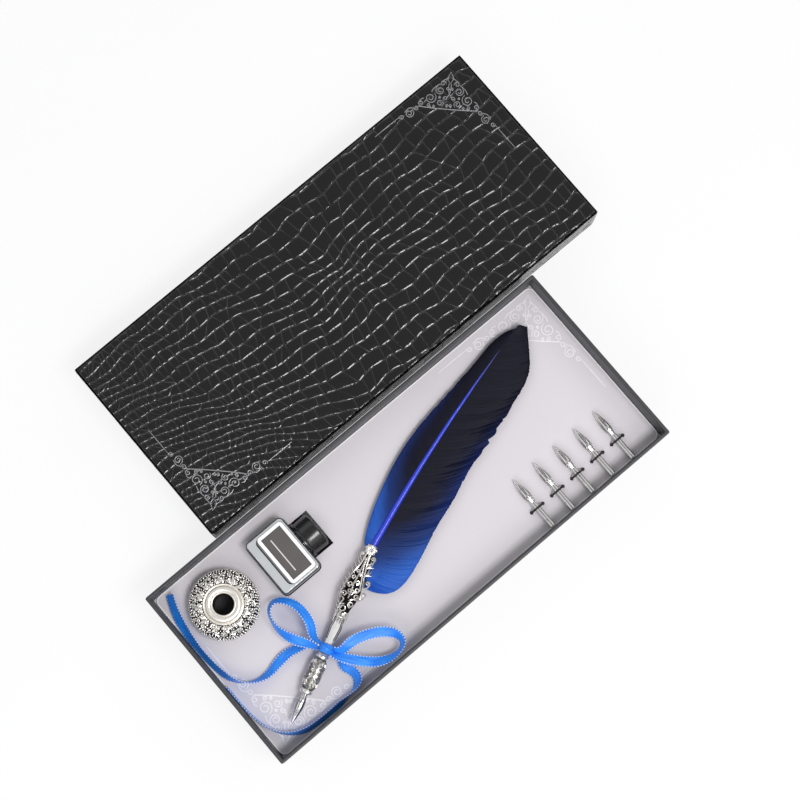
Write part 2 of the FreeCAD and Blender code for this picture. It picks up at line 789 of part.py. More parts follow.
# Flat ribbon standing on edge along a level route.
def band(label, points, width, thickness):
    pieces, radii = rounded_route(points)
    sides = []
    for side in (thickness / 2, -thickness / 2):
        shifted = []
        for piece in pieces:
            heading = piece[-1] - piece[0]
            if len(piece) == 2:
                normals = [up.cross(heading).normalize()] * 2
            else:
                chord = up.cross(heading).normalize()
                curve = Part.Arc(*piece)
                normals = [up.cross(curve.tangent(curve.parameter(spot))[0]).normalize() for spot in piece]
                normals = [item if item.dot(chord) > 0 else -item for item in normals]
            shifted.append(tuple(spot + normal * side for spot, normal in zip(piece, normals)))
        sides.append(shifted)
    left, right = sides
    edges = [route_edge(piece) for piece in left]
    edges.append(Part.LineSegment(left[-1][-1], right[-1][-1]).toShape())
    edges += [route_edge(tuple(reversed(piece))) for piece in reversed(right)]
    edges.append(Part.LineSegment(right[0][0], left[0][0]).toShape())
    shape = Part.Face(Part.Wire(edges)).extrude(up * width)
    length = sum(route_edge(piece).Length for piece in pieces)
    share = shape.Volume / (length * width * thickness)
    print(f"{label}: length {length:.1f}, volume share {share:.4f}, radii",
          " ".join(f"{radius:.1f}" for radius in radii))
    return shape


# Ribbon: a knot round the neck, two loops and two tails.
def make_ribbon():
    width = float(size("ribbon_width"))
    thickness = float(size("ribbon_thickness"))
    gap = size("ribbon_gap")
    frame = FreeCAD.Placement(V(float(pen_x), float(pen_y), 0), FreeCAD.Rotation(up, pen_turn))
    place = float(size("knot_place"))
    reach = float(size("knot_half_width"))
    lead = float(size("knot_lead"))
    spread = float(size("knot_spread"))
    tail_low = card_top + gap
    loop_low = tail_low + size("ribbon_width") + gap

    def leaving(side, shift, level):
        """First two points of a route, square to one side of the knot."""
        return [frame.multVec(V(place + shift, side * distance, 0)) + up * level
                for distance in (reach, reach + lead)]

    stretch_x = float(size("tray_length")) / drawn_tray[0]
    stretch_y = float(size("tray_width")) / drawn_tray[1]

    def level_route(route, level):
        return [V(x * stretch_x, y * stretch_y, level) for x, y in route]

    low = float(tail_low)
    high = float(loop_low)
    left_out = leaving(1, spread, high)
    left_back = leaving(1, -spread, high)
    right_out = leaving(-1, spread, high)
    right_back = leaving(-1, -spread, high)
    routes = {
        "bow_loop_left": left_out + level_route(loop_left_route, high) + left_back[::-1],
        "bow_loop_right": right_out + level_route(loop_right_route, high) + right_back[::-1],
        "ribbon_tail_left": leaving(1, 0, low) + level_route(tail_left_route, low),
        "ribbon_tail_right": leaving(-1, 0, low) + level_route(tail_right_route, low),
    }
    for label, points in routes.items():
        node(solid(label, band(label, points, width, thickness)), label)

    block = doc.addObject("Part::Box", "knot_block")
    tall = loop_low + size("ribbon_width") + size("knot_corner") - tail_low
    bind(block, {"Length": size("knot_length"), "Width": size("knot_half_width") * 2, "Height": tall})
    bind(block, {"Placement.Base.x": size("knot_place") - size("knot_length") / 2,
                 "Placement.Base.y": -size("knot_half_width"), "Placement.Base.z": tail_low - pen_z})
    doc.recompute()
    rounded = doc.addObject("Part::Fillet", "knot_rounded")
    rounded.Base = block
    corner = float(size("knot_corner"))
    rounded.Edges = [(index + 1, corner, corner) for index in range(len(block.Shape.Edges))]
    bore = doc.addObject("Part::Cylinder", "knot_bore")
    bind(bore, {"Radius": size("handle_radius") + size("knot_gap"), "Height": size("knot_length") * 2})
    bore.Placement = FreeCAD.Placement(V(0, 0, 0), FreeCAD.Rotation(up, forward))
    bind(bore, {"Placement.Base.x": size("knot_place") - size("knot_length")})
    node(put_on_pen(cut("bow_knot_cut", rounded, bore)), "bow_knot")


# Pen grip: a turned sleeve between two rings, with leaf-shaped facets and a bore for the collet.
def make_grip():
    axis = zero
    bore = size("shank_radius") + size("collet_gap") * 2 + size("collet_wall")
    ring = size("grip_ring")
    ring_radius = size("grip_ring_radius")
    groove = size("grip_groove_radius")
    stop = grip_start + size("nib_insert") + size("grip_stop")
    stud_bore = size("stud_radius") + size("collet_gap")
    stud_start = grip_end - size("stud_length") - size("collet_gap")
    middle = grip_start + size("grip_length") / 2
    body = new_body("pen_grip")
    profile = [
        (grip_start, bore), (grip_start, groove, grip_start + ring / 2, ring_radius),
        (grip_start + ring, groove, middle, size("grip_radius")),
        (grip_end - ring, groove, grip_end - ring / 2, ring_radius), (grip_end, groove),
        (grip_end, stud_bore), (stud_start, stud_bore), (stud_start, axis), (stop, axis), (stop, bore),
    ]
    spin(body, "grip_turn", outline(body, "grip_profile", "XY_Plane", profile), "X_Axis")
    doc.recompute()
    half_leaf = size("grip_radius") * math.sin(math.pi / grip_facets) * leaf_width_share
    leaf = [
        (grip_start + ring + ring / 2, axis, middle, half_leaf),
        (grip_end - ring - ring / 2, axis, middle, -half_leaf),
    ]
    sketch = outline(body, "leaf_outline", "XY_Plane", leaf)
    bind(sketch, {"AttachmentOffset.Base.z": size("grip_radius") - size("grip_facet")})
    facet = pocket(body, "leaf_facet", sketch, upward=True)
    doc.recompute()
    round_pattern(body, "leaf_facets", facet, "X_Axis", grip_facets)
    node(put_on_pen(body), "pen_grip")

    inner = size("shank_radius") + size("collet_gap")
    outer = inner + size("collet_wall")
    collet = new_body("nib_collet")
    stop_gap = stop - size("collet_gap")
    profile = [(grip_start, inner), (grip_start, outer), (stop_gap, outer), (stop_gap, inner)]
    spin(collet, "collet_turn", outline(collet, "collet_profile", "XY_Plane", profile), "X_Axis")
    doc.recompute()
    half_split = size("collet_split") / 2
    reach = stop - size("grip_length") / 4
    front = grip_start - ring
    split = [(front, -half_split), (reach, -half_split), (reach, half_split), (front, half_split)]
    pocket(collet, "collet_slot", outline(collet, "slot_outline", "XY_Plane", split), both=True)
    node(put_on_pen(collet), "nib_collet")


# Pen neck: a faceted baluster with a stud that goes into the grip.
def make_neck():
    slim = size("handle_slim_radius")
    swell = size("handle_radius") - slim
    sections = []
    for index, (along, share) in enumerate(handle_shares):
        ring = doc.addObject("Part::RegularPolygon", f"neck_section_{index + 1}")
        ring.Polygon = handle_sides
        bind(ring, {"Circumradius": slim + swell * share})
        ring.Placement = FreeCAD.Placement(V(0, 0, 0), FreeCAD.Rotation(up, forward))
        bind(ring, {"Placement.Base.x": grip_end + size("handle_length") * along})
        sections.append(ring)
    loft = doc.addObject("Part::Loft", "neck_loft")
    loft.Sections = sections
    loft.Solid = True
    loft.Ruled = True
    stud = doc.addObject("Part::Cylinder", "neck_stud")
    bind(stud, {"Radius": size("stud_radius"), "Height": size("stud_length") * 2})
    stud.Placement = FreeCAD.Placement(V(0, 0, 0), FreeCAD.Rotation(up, forward))
    bind(stud, {"Placement.Base.x": grip_end - size("stud_length")})
    node(put_on_pen(fuse("neck_whole", [loft, stud])), "pen_neck")


# Ferrule: a hollow bulb pierced by lens-shaped windows, so that only its ribs stay.
def make_ferrule():
    axis = zero
    wall = size("ferrule_wall")
    root = size("ferrule_root_radius")
    full = size("ferrule_radius")
    end = size("ferrule_end_radius")
    belly = handle_end + size("ferrule_length") * ferrule_belly_share
    rise = handle_end + size("ferrule_length") * ferrule_rise_share
    fall = handle_end + size("ferrule_length") * ferrule_fall_share
    rise_radius = root + (full - root) * ferrule_swell_share
    fall_radius = end + (full - end) * ferrule_swell_share
    floor = handle_end + size("ferrule_root")
    hole = size("quill_radius") + size("quill_gap")
    body = new_body("pen_ferrule")
    profile = [
        (handle_end, axis), (handle_end, root, rise, rise_radius), (belly, full, fall, fall_radius),
        (ferrule_end, end), (ferrule_end, hole, fall, fall_radius - wall),
        (belly, full - wall, rise, rise_radius - wall), (floor, root - wall), (floor, axis),
    ]
    spin(body, "ferrule_turn", outline(body, "ferrule_profile", "XY_Plane", profile), "X_Axis")
    doc.recompute()
    first = handle_end + size("window_margin")
    last = ferrule_end - size("window_margin")
    half = size("window_width") / 2
    lens = [(first, axis, belly, -half), (last, axis, belly, half)]
    window = pocket(body, "window", outline(body, "window_outline", "XY_Plane", lens), upward=True)
    doc.recompute()
    round_pattern(body, "windows", window, "X_Axis", ferrule_windows)
    node(put_on_pen(body), "pen_ferrule")


# Rosette: a beaded ring round the quill at the end of the ferrule.
def make_rosette():
    ring = doc.addObject("Part::Cylinder", "rosette_ring")
    bind(ring, {"Radius": size("rosette_ring_radius"), "Height": size("rosette_length")})
    beads = [ring]
    for index in range(rosette_beads):
        bead = doc.addObject("Part::Sphere", f"rosette_bead_{index + 1}")
        bind(bead, {"Radius": size("rosette_bead_radius")})
        angle = 2 * math.pi * (index + 0.5) / rosette_beads
        bind(bead, {"Placement.Base.x": size("rosette_ring_radius") * math.cos(angle),
                    "Placement.Base.y": size("rosette_ring_radius") * math.sin(angle),
                    "Placement.Base.z": size("rosette_length") / 2})
        beads.append(bead)
    hole = doc.addObject("Part::Cylinder", "rosette_hole")
    bind(hole, {"Radius": size("quill_radius") + size("quill_gap"), "Height": size("rosette_length")})
    whole = cut("rosette_cut", fuse("rosette_beads", beads), hole)
    along = FreeCAD.Placement(V(float(ferrule_end), 0, 0), FreeCAD.Rotation(up, forward))
    pen = FreeCAD.Placement(V(float(pen_x), float(pen_y), float(pen_z)), FreeCAD.Rotation(up, pen_turn))
    whole.Placement = pen.multiply(along)
    node(whole, "pen_rosette")


# Feather: a tapering quill that leaves the rosette, bends gently, and carries two cambered vanes.
def quill_offset(along):
    """Sideways place of the quill's middle at a distance along the pen."""
    past = max(0.0, along - float(rosette_end))
    return -feather_slope_share * past - past * past / (2 * float(size("feather_bend_radius")))


def quill_radius_at(along):
    past = max(0.0, along - float(rosette_end)) / (pen_length - float(rosette_end))
    root = float(size("quill_radius"))
    return root + (float(size("quill_tip_radius")) - root) * min(1.0, past)


def make_quill():
    free = pen_length - float(rosette_end)
    root = float(size("quill_radius"))
    taper = float(size("quill_tip_radius")) - root
    floor = float(handle_end) + float(size("ferrule_root")) + float(size("quill_gap"))
    stations = [(floor, root)]
    stations += [(float(rosette_end) + free * along, root + taper * share) for along, share in quill_shares]
    rings = []
    for along, radius in stations:
        rings.append(Part.Wire(Part.Circle(V(along, quill_offset(along), 0), forward, radius).toShape()))
    node(put_on_pen(solid("feather_quill", Part.makeLoft(rings, True, True))), "feather_quill")


def vane_section(along, inner, outer, width):
    """Closed cross-section of a vane, arched from the quill to its edge."""
    half = float(size("vane_thickness")) / 2
    crown = float(size("vane_crown"))
    droop = float(size("vane_droop"))
    spots = [inner, (inner + outer) / 2, outer]
    level = [crown - droop * (spot / width) ** 2 for spot in spots]
    base = quill_offset(along)
    top = [V(along, base + spot, height + half) for spot, height in zip(spots, level)]
    low = [V(along, base + spot, height - half) for spot, height in zip(spots, level)]
    return Part.Wire([
        Part.Arc(*top).toShape(), Part.LineSegment(top[2], low[2]).toShape(),
        Part.Arc(*low[::-1]).toShape(), Part.LineSegment(low[0], top[0]).toShape(),
    ])


def make_vanes():
    gap = float(size("quill_gap"))
    tip = pen_length
    lead_root = float(rosette_end)
    lead = float(size("vane_lead_width"))
    sections = []
    for along_share, width_share in vane_lead_shares:
        along = lead_root + (tip - lead_root) * along_share
        sections.append(vane_section(along, quill_radius_at(along) + gap, lead * width_share, lead))
    node(put_on_pen(solid("feather_vane_lead", Part.makeLoft(sections, True, True))), "feather_vane_lead")

    trail_root = float(rosette_end) - float(size("vane_back"))
    trail = float(size("vane_trail_width"))
    beside = float(size("ferrule_radius")) + float(size("vane_ferrule_gap"))
    sections = []
    for along_share, width_share in vane_trail_shares:
        along = trail_root + (tip - trail_root) * along_share
        inner = quill_radius_at(along) + gap if along > float(rosette_end) else beside
        sections.append(vane_section(along, -inner, -trail * width_share, trail))
    node(put_on_pen(solid("feather_vane_trail", Part.makeLoft(sections, True, True))), "feather_vane_trail")


# Elastics: each comes up through the card, over a shank and down again.
def make_elastics():
    reach = float(size("elastic_reach"))
    tuck = float(size("elastic_tuck"))
    wire = float(size("elastic_radius"))
    shank = float(size("shank_radius"))
    lying = float(size("lying_gap"))
    crest = lying + shank * 2 + float(size("elastic_gap")) + wire
    flat = shank * elastic_flat_share
    knee = wire * 2
    spots = [(-reach, -tuck), (-reach, knee), (-flat, crest), (flat, crest), (reach, knee), (reach, -tuck)]
    for index in range(spare_nibs):
        label = f"elastic_loop_{index + 1}"
        x = float(first_nib_x + size("nib_pitch") * index)
        points = [V(x + across, float(elastic_y), float(card_top) + height) for across, height in spots]
        pieces, radii = rounded_route(points)
        path = Part.Wire([route_edge(piece) for piece in pieces])
        ring = Part.Wire(Part.Circle(points[0], up, wire).toShape())
        node(solid(label, path.makePipeShell([ring], True, True)), label)


make_tray()
make_lid()
make_foam()
make_card()
make_rest()
make_bottle()
make_nibs()
make_grip()
make_neck()
make_ferrule()
make_rosette()
make_quill()
make_vanes()
make_ribbon()
make_elastics()
doc.recompute()

# Nothing is written unless every object is sound.
for item in doc.Objects:
    if "Invalid" in item.State or "Error" in item.State:
        raise RuntimeError(f"{item.Name} is {item.State}")
for label, item in nodes.items():
    if item.Shape.isNull() or not item.Shape.isValid() or len(item.Shape.Solids) != 1:
        raise RuntimeError(f"{label} is not one valid solid")

os.makedirs("parts", exist_ok=True)
for label, item in nodes.items():
    item.Shape.exportStep(f"parts/{label}.step")
print(f"{len(nodes)} pieces")
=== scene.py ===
# %% [markdown]
# # Dressing a dip pen gift box
# The CAD frame already holds every board, card, nib and bottle at its true size, in metres.
# This lesson keeps that frame, covers it with paper, metal, glass, satin and feather, and puts finer
# pieces in the place of solids that are too plain to be seen close up. First the frame is loaded.

# %% Load the frame
import math
import bmesh
import bpy
import numpy as np
from mathutils import Matrix, Vector


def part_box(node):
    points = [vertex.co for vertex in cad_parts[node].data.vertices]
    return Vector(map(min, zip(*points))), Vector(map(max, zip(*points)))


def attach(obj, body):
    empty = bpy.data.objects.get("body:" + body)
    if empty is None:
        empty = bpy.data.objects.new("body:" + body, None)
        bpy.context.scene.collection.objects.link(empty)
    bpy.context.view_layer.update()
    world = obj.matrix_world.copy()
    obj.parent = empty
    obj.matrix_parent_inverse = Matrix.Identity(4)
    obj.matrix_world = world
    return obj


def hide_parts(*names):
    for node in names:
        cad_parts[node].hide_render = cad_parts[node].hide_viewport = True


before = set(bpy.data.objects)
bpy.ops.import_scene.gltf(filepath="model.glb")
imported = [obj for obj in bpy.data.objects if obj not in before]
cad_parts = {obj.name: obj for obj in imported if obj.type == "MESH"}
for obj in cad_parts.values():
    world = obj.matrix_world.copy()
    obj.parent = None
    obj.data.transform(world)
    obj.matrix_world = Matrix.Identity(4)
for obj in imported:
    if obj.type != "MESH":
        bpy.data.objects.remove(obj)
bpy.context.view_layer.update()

mm = 0.001

# %% [markdown]
# The picture was taken from almost straight above, turned a little, with a long lens. A camera could be
# placed by eye, but writing its turn, height, roll and distance round one target point makes the place
# exact and easy to change: three axes are built from the angles and become the columns of its matrix.

# %% Camera
def camera_place(azimuth, elevation, roll, distance, target):
    turn, rise, lean = (math.radians(value) for value in (azimuth, elevation, roll))
    back = Vector((math.cos(rise) * math.cos(turn), math.cos(rise) * math.sin(turn), math.sin(rise)))
    right = Vector((0, 0, 1)).cross(back).normalized()
    up = back.cross(right)
    side = math.cos(lean) * right + math.sin(lean) * up
    top = math.cos(lean) * up - math.sin(lean) * right
    axes = Matrix((side, top, back)).transposed().to_4x4()
    return Matrix.Translation(Vector(target) + distance * back) @ axes


lens = bpy.data.cameras.new("set_camera")
lens.sensor_width = 36.0
lens.lens = 88.19
camera = bpy.data.objects.new("set_camera", lens)
camera.matrix_world = camera_place(-134.328, 81.576, 4.052, 1.1242, (0.039795, 0.054824, 0.020))
bpy.context.scene.collection.objects.link(camera)
bpy.context.scene.camera = camera
bpy.context.scene.view_settings.view_transform = "Standard"
print("camera at", [round(value, 3) for value in camera.location])

# %% [markdown]
# Every material below is a small tree of nodes. A few helpers keep the cells short. The first puts a value
# into a socket, as a link if it comes out of another node and as a plain number if not. The second adds a node
# with its settings and values, and the rest are the nodes used most. Colours are written as they look on a
# screen and turned into linear light.

# %% Node helpers
def tone(red, green, blue):
    out = []
    for value in (red, green, blue):
        share = value / 255
        out.append(share / 12.92 if share <= 0.04045 else ((share + 0.055) / 1.055) ** 2.4)
    return (*out, 1.0)


def put(tree, socket, value):
    if isinstance(value, bpy.types.NodeSocket):
        tree.links.new(value, socket)
    elif value is not None:
        socket.default_value = value


def add(tree, kind, values=None, **settings):
    node = tree.nodes.new(kind)
    for key, value in settings.items():
        setattr(node, key, value)
    for key, value in (values or {}).items():
        put(tree, node.inputs[key], value)
    return node


def math_node(tree, operation, first, second=None, third=None):
    return add(tree, "ShaderNodeMath", {0: first, 1: second, 2: third}, operation=operation).outputs[0]


def vector_math(tree, operation, first, second=None):
    return add(tree, "ShaderNodeVectorMath", {0: first, 1: second}, operation=operation).outputs


def mix_colours(tree, factor, first, second):
    return add(tree, "ShaderNodeMix", {0: factor, 6: first, 7: second}, data_type="RGBA").outputs[2]


def ramp(tree, factor, low, high):
    values = {"Value": factor, "From Min": low, "From Max": high}
    return add(tree, "ShaderNodeMapRange", values, interpolation_type="SMOOTHSTEP").outputs["Result"]


def texture(tree, kind, vector, **values):
    return add(tree, "ShaderNodeTex" + kind, {"Vector": vector, **values}).outputs


def mapped(tree, vector, **values):
    return add(tree, "ShaderNodeMapping", {"Vector": vector, **values}).outputs[0]


def split(tree, vector):
    return add(tree, "ShaderNodeSeparateXYZ", {0: vector}).outputs


print("node helpers ready")

# %% [markdown]
# A material starts from its shader's own sockets, which hold whatever stays constant. Patterns are fed in later.
# start_material also hands back the Object coordinates, which place most patterns: they are metres in the
# shared frame, so a pattern keeps its size from piece to piece.

# %% Material helpers
def feed(shader, **values):
    for key, value in values.items():
        put(shader.id_data, shader.inputs[key.replace("_", " ")], value)


def start_material(name, colour, roughness, metallic=0.0, **sockets):
    material = bpy.data.materials.new(name)
    material.use_nodes = True
    tree = material.node_tree
    shader = tree.nodes["Principled BSDF"]
    feed(shader, Base_Color=colour, Roughness=roughness, Metallic=metallic, **sockets)
    return material, tree, shader, add(tree, "ShaderNodeTexCoord").outputs["Object"]


def add_bump(tree, shader, height, distance, strength=1.0):
    bump = add(tree, "ShaderNodeBump", {"Strength": strength, "Distance": distance, "Height": height})
    feed(shader, Normal=bump.outputs["Normal"])


print("material helpers ready")

# %% [markdown]
# The set lies on a white table in a studio. A floor that only reflects light never reaches pure white, so
# its material mixes in plain white for rays that come from the camera, a mirror or glass. What is left of
# the ordinary surface still darkens under the box, and that is its shadow.

# %% Floor
def white_floor():
    material, tree, shader, place = start_material("white_table", tone(244, 244, 245), 0.7)
    grain = texture(tree, "Noise", place, Scale=9.0, Detail=3.0)
    feed(shader, Base_Color=mix_colours(tree, grain["Fac"], tone(240, 240, 242), tone(248, 248, 248)))
    rays = add(tree, "ShaderNodeLightPath")
    seen = math_node(tree, "MAXIMUM", rays.outputs["Is Camera Ray"], rays.outputs["Is Transmission Ray"])
    mirrored = math_node(tree, "MULTIPLY", rays.outputs["Is Glossy Ray"], 0.3)
    glow = add(tree, "ShaderNodeEmission", {"Color": (1, 1, 1, 1), "Strength": 1.0})
    share = math_node(tree, "MAXIMUM", math_node(tree, "MULTIPLY", seen, 0.82), mirrored)
    both = add(tree, "ShaderNodeMixShader", {0: share, 1: shader.outputs[0], 2: glow.outputs[0]})
    tree.links.new(both.outputs[0], tree.nodes["Material Output"].inputs["Surface"])
    return material


reach, floor_z = 6.0, -0.0002
floor_mesh = bpy.data.meshes.new("table_floor")
floor_mesh.from_pydata([(sx * reach, sy * reach, floor_z) for sx, sy in ((-1, -1), (1, -1), (1, 1), (-1, 1))], [],
                       [(0, 1, 2, 3)])
floor_mesh.materials.append(white_floor())
table_floor = bpy.data.objects.new("table_floor", floor_mesh)
bpy.context.scene.collection.objects.link(table_floor)
print("floor", 2 * reach, "metres wide")

# %% [markdown]
# The sky is a bright dome with a dark spot above and a dark ring low down, so that polished metal shows both
# light and dark. A ramp over the height of each direction sets its levels. Two softboxes add soft shadows: the
# camera's own function places them, since it turns any object to look at a target.

# %% Light
def studio_sky(levels):
    world = bpy.data.worlds.new("studio")
    world.use_nodes = True
    tree = world.node_tree
    height = split(tree, add(tree, "ShaderNodeTexCoord").outputs["Generated"])["Z"]
    steps = add(tree, "ShaderNodeValToRGB", {0: height})
    for place, level in levels:
        stop = steps.color_ramp.elements.new(place)
        stop.color = (level, level, level * 1.02, 1)
    steps.color_ramp.elements.remove(steps.color_ramp.elements[0])
    steps.color_ramp.elements.remove(steps.color_ramp.elements[-1])
    tree.links.new(steps.outputs[0], tree.nodes["Background"].inputs["Color"])
    tree.nodes["Background"].inputs["Strength"].default_value = 1.0
    return world


def softbox(name, azimuth, elevation, distance, width, height, power, target=(0.03, 0.04, 0.02)):
    lamp = bpy.data.lights.new(name, "AREA")
    lamp.shape = "RECTANGLE"
    lamp.size = width
    lamp.size_y = height
    lamp.energy = power
    item = bpy.data.objects.new(name, lamp)
    item.matrix_world = camera_place(azimuth, elevation, 0.0, distance, target)
    bpy.context.scene.collection.objects.link(item)


sky_levels = ((0.0, 0.52), (0.20, 0.50), (0.30, 0.25), (0.40, 0.25), (0.48, 0.86), (0.76, 0.92), (0.83, 0.32),
              (0.98, 0.29))
bpy.context.scene.world = studio_sky(sky_levels)
softbox("key_softbox", -80, 65, 1.5, 0.66, 0.40, 11.5)
softbox("fill_softbox", -130, 40, 1.6, 1.0, 0.7, 4.5)
print("studio sky and two softboxes")

# %% [markdown]
# Most pieces are meshes made from numbers. A shape here is three lists: points, faces and one mask value
# for each point, which says how deep in a hollow it lies. Shapes are joined as lists first and become one
# Blender object at the end, because one object for each piece of the real set is easiest to keep in order.

# %% Shape helpers
def grid_faces(rows, columns, close_rows=False, close_columns=False):
    faces = []
    for row in range(rows if close_rows else rows - 1):
        for column in range(columns if close_columns else columns - 1):
            a, b = row * columns, (row + 1) % rows * columns
            c, d = column, (column + 1) % columns
            faces.append((a + c, a + d, b + d, b + c))
    return faces


def join_shapes(shapes):
    points, faces, masks, start = [], [], [], 0
    for piece_points, piece_faces, piece_mask in shapes:
        points.append(np.asarray(piece_points, float))
        masks.append(np.broadcast_to(np.asarray(piece_mask, float), len(piece_points)))
        faces += [tuple(index + start for index in face) for face in piece_faces]
        start += len(piece_points)
    return np.concatenate(points), faces, np.concatenate(masks)


print("shape helpers ready")

# %% [markdown]
# A shape becomes a piece in three steps: the lists turn into a mesh with its mask stored as an attribute, the
# mesh into an object, and the object is told which body of the frame it rides on and which CAD nodes it stands
# in for.

# %% From shapes to pieces
def new_object(name, mesh):
    item = bpy.data.objects.new(name, mesh)
    bpy.context.scene.collection.objects.link(item)
    return item


def set_piece(item, body, replaced=()):
    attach(item, body)
    if replaced:
        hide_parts(*replaced)
    print(item.name, len(item.data.polygons), "faces on", body)
    return item


def shape_mesh(name, shape, material, uv=None, sharp=35.0, weld=True):
    points, faces, mask = shape
    mesh = bpy.data.meshes.new(name)
    mesh.from_pydata([tuple(point) for point in points], [], faces)
    layer = mesh.attributes.new("recess", "FLOAT", "POINT")
    layer.data.foreach_set("value", np.broadcast_to(mask, len(points)).astype(np.float32))
    if uv is not None:
        loops = np.zeros(len(mesh.loops), np.int32)
        mesh.loops.foreach_get("vertex_index", loops)
        mesh.uv_layers.new(name="UVMap").data.foreach_set("uv", np.asarray(uv, np.float32)[loops].ravel())
    if weld:
        work = bmesh.new()
        work.from_mesh(mesh)
        bmesh.ops.remove_doubles(work, verts=work.verts, dist=1e-7)
        bmesh.ops.dissolve_degenerate(work, edges=work.edges, dist=1e-8)
        work.to_mesh(mesh)
        work.free()
    mesh.polygons.foreach_set("use_smooth", [True] * len(mesh.polygons))
    mesh.set_sharp_from_angle(angle=math.radians(sharp))
    mesh.materials.append(material)
    mesh.update()
    return mesh


def face_outward(mesh):
    work = bmesh.new()
    work.from_mesh(mesh)
    bmesh.ops.recalc_face_normals(work, faces=work.faces)
    work.to_mesh(mesh)
    work.free()


def make_piece(name, shape, material, body, slot, replaced=(), outward=False, **options):
    mesh = shape_mesh(name, shape, material, **options)
    if outward:
        face_outward(mesh)
    return set_piece(new_object(name, mesh), body, replaced)


print("piece helpers ready")

# %% [markdown]
# Much of the ornament is wire: a round section carried along a line, thinner at both ends. A section has to
# know which way is up along its line, or it would twist. The lines themselves are drawn through a few marked
# points, and a smooth curve that passes through every one of them fills in the rest.

# %% Wire helpers
def taper(count, least, rate):
    ends = np.minimum(np.linspace(0, 1, count), np.linspace(1, 0, count))
    return least + (1 - least) * np.clip(ends * rate, 0, 1)


def wire(path, radius, sides=6, closed=False, up=(0, 0, 1), flat=1.0, mask=0.0):
    path = np.asarray(path, float)
    radius = np.broadcast_to(np.asarray(radius, float), len(path))
    ahead = np.roll(path, -1, 0) - np.roll(path, 1, 0) if closed else np.gradient(path, axis=0)
    ahead /= np.linalg.norm(ahead, axis=1)[:, None] + 1e-12
    up = np.broadcast_to(np.asarray(up, float), path.shape)
    side = np.cross(up, ahead)
    length = np.linalg.norm(side, axis=1)
    side = np.where(length[:, None] > 1e-6, side, np.cross(np.broadcast_to((1.0, 0.3, 0.2), path.shape), ahead))
    side /= np.linalg.norm(side, axis=1)[:, None]
    over = np.cross(ahead, side)
    turns = np.arange(sides) * 2 * math.pi / sides
    ring = np.cos(turns)[None, :, None] * side[:, None] + flat * np.sin(turns)[None, :, None] * over[:, None]
    points = (path[:, None] + radius[:, None, None] * ring).reshape(-1, 3)
    faces = grid_faces(len(path), sides, closed, True)
    if not closed:
        faces += [tuple(range(sides))[::-1], tuple(range(len(points) - sides, len(points)))]
    return points, faces, mask


def smooth_line(points, steps):
    points = np.asarray(points, float)
    padded = np.vstack([2 * points[0] - points[1], points, 2 * points[-1] - points[-2]])
    out = []
    for value in np.linspace(0, 1, steps):
        place = min(value * (len(points) - 1), len(points) - 1 - 1e-9)
        index = int(place)
        t = place - index
        a, b, c, d = padded[index:index + 4]
        out.append(0.5 * (2 * b + (c - a) * t + (2 * a - 5 * b + 4 * c - d) * t ** 2
                          + (3 * b - a - 3 * c + d) * t ** 3))
    return np.array(out)


print("wire helpers ready")

# %% [markdown]
# Three effects become shader groups with named sockets: the fibres of paper and board, the dark tarnish that
# stays in the hollows of antique metal, and the weave of satin. Many materials share the first two. A group
# gives out only masks and heights. The shader itself stays in the material.

# %% Shared shader groups
def new_group(name, inputs, outputs, kind="ShaderNodeTree"):
    group = bpy.data.node_groups.new(name, kind)
    for socket, sort, value in inputs:
        made = group.interface.new_socket(socket, in_out="INPUT", socket_type="NodeSocket" + sort)
        if value is not None:
            made.default_value = value
    for socket, sort in outputs:
        group.interface.new_socket(socket, in_out="OUTPUT", socket_type="NodeSocket" + sort)
    return group, add(group, "NodeGroupInput"), add(group, "NodeGroupOutput")


def paper_fibre_group():
    group, given, out = new_group("paper_fibre", [("Vector", "Vector", None), ("Scale", "Float", 900.0)],
                                  [("Shade", "Float"), ("Height", "Float")])
    vector, scale = given.outputs["Vector"], given.outputs["Scale"]
    fine = texture(group, "Noise", vector, Scale=scale, Detail=4.0, Roughness=0.65)["Fac"]
    broad = texture(group, "Noise", vector, Scale=math_node(group, "MULTIPLY", scale, 0.035), Detail=2.0)["Fac"]
    shade = math_node(group, "MULTIPLY_ADD", fine, 0.45, 0.0)
    put(group, out.inputs["Shade"], math_node(group, "MULTIPLY_ADD", broad, 0.55, shade))
    put(group, out.inputs["Height"], fine)
    return group


def tarnish_group():
    group, given, out = new_group("antique_tarnish", [("Vector", "Vector", None), ("Recess", "Float", 0.0),
                                                      ("Scale", "Float", 700.0)],
                                  [("Dark", "Float"), ("Height", "Float")])
    vector, scale = given.outputs["Vector"], given.outputs["Scale"]
    cloud = texture(group, "Noise", vector, Scale=scale, Detail=3.0, Roughness=0.6)["Fac"]
    wavy = math_node(group, "MULTIPLY_ADD", cloud, 0.5, -0.25)
    put(group, out.inputs["Dark"], ramp(group, math_node(group, "ADD", given.outputs["Recess"], wavy), 0.25, 0.75))
    put(group, out.inputs["Height"], cloud)
    return group


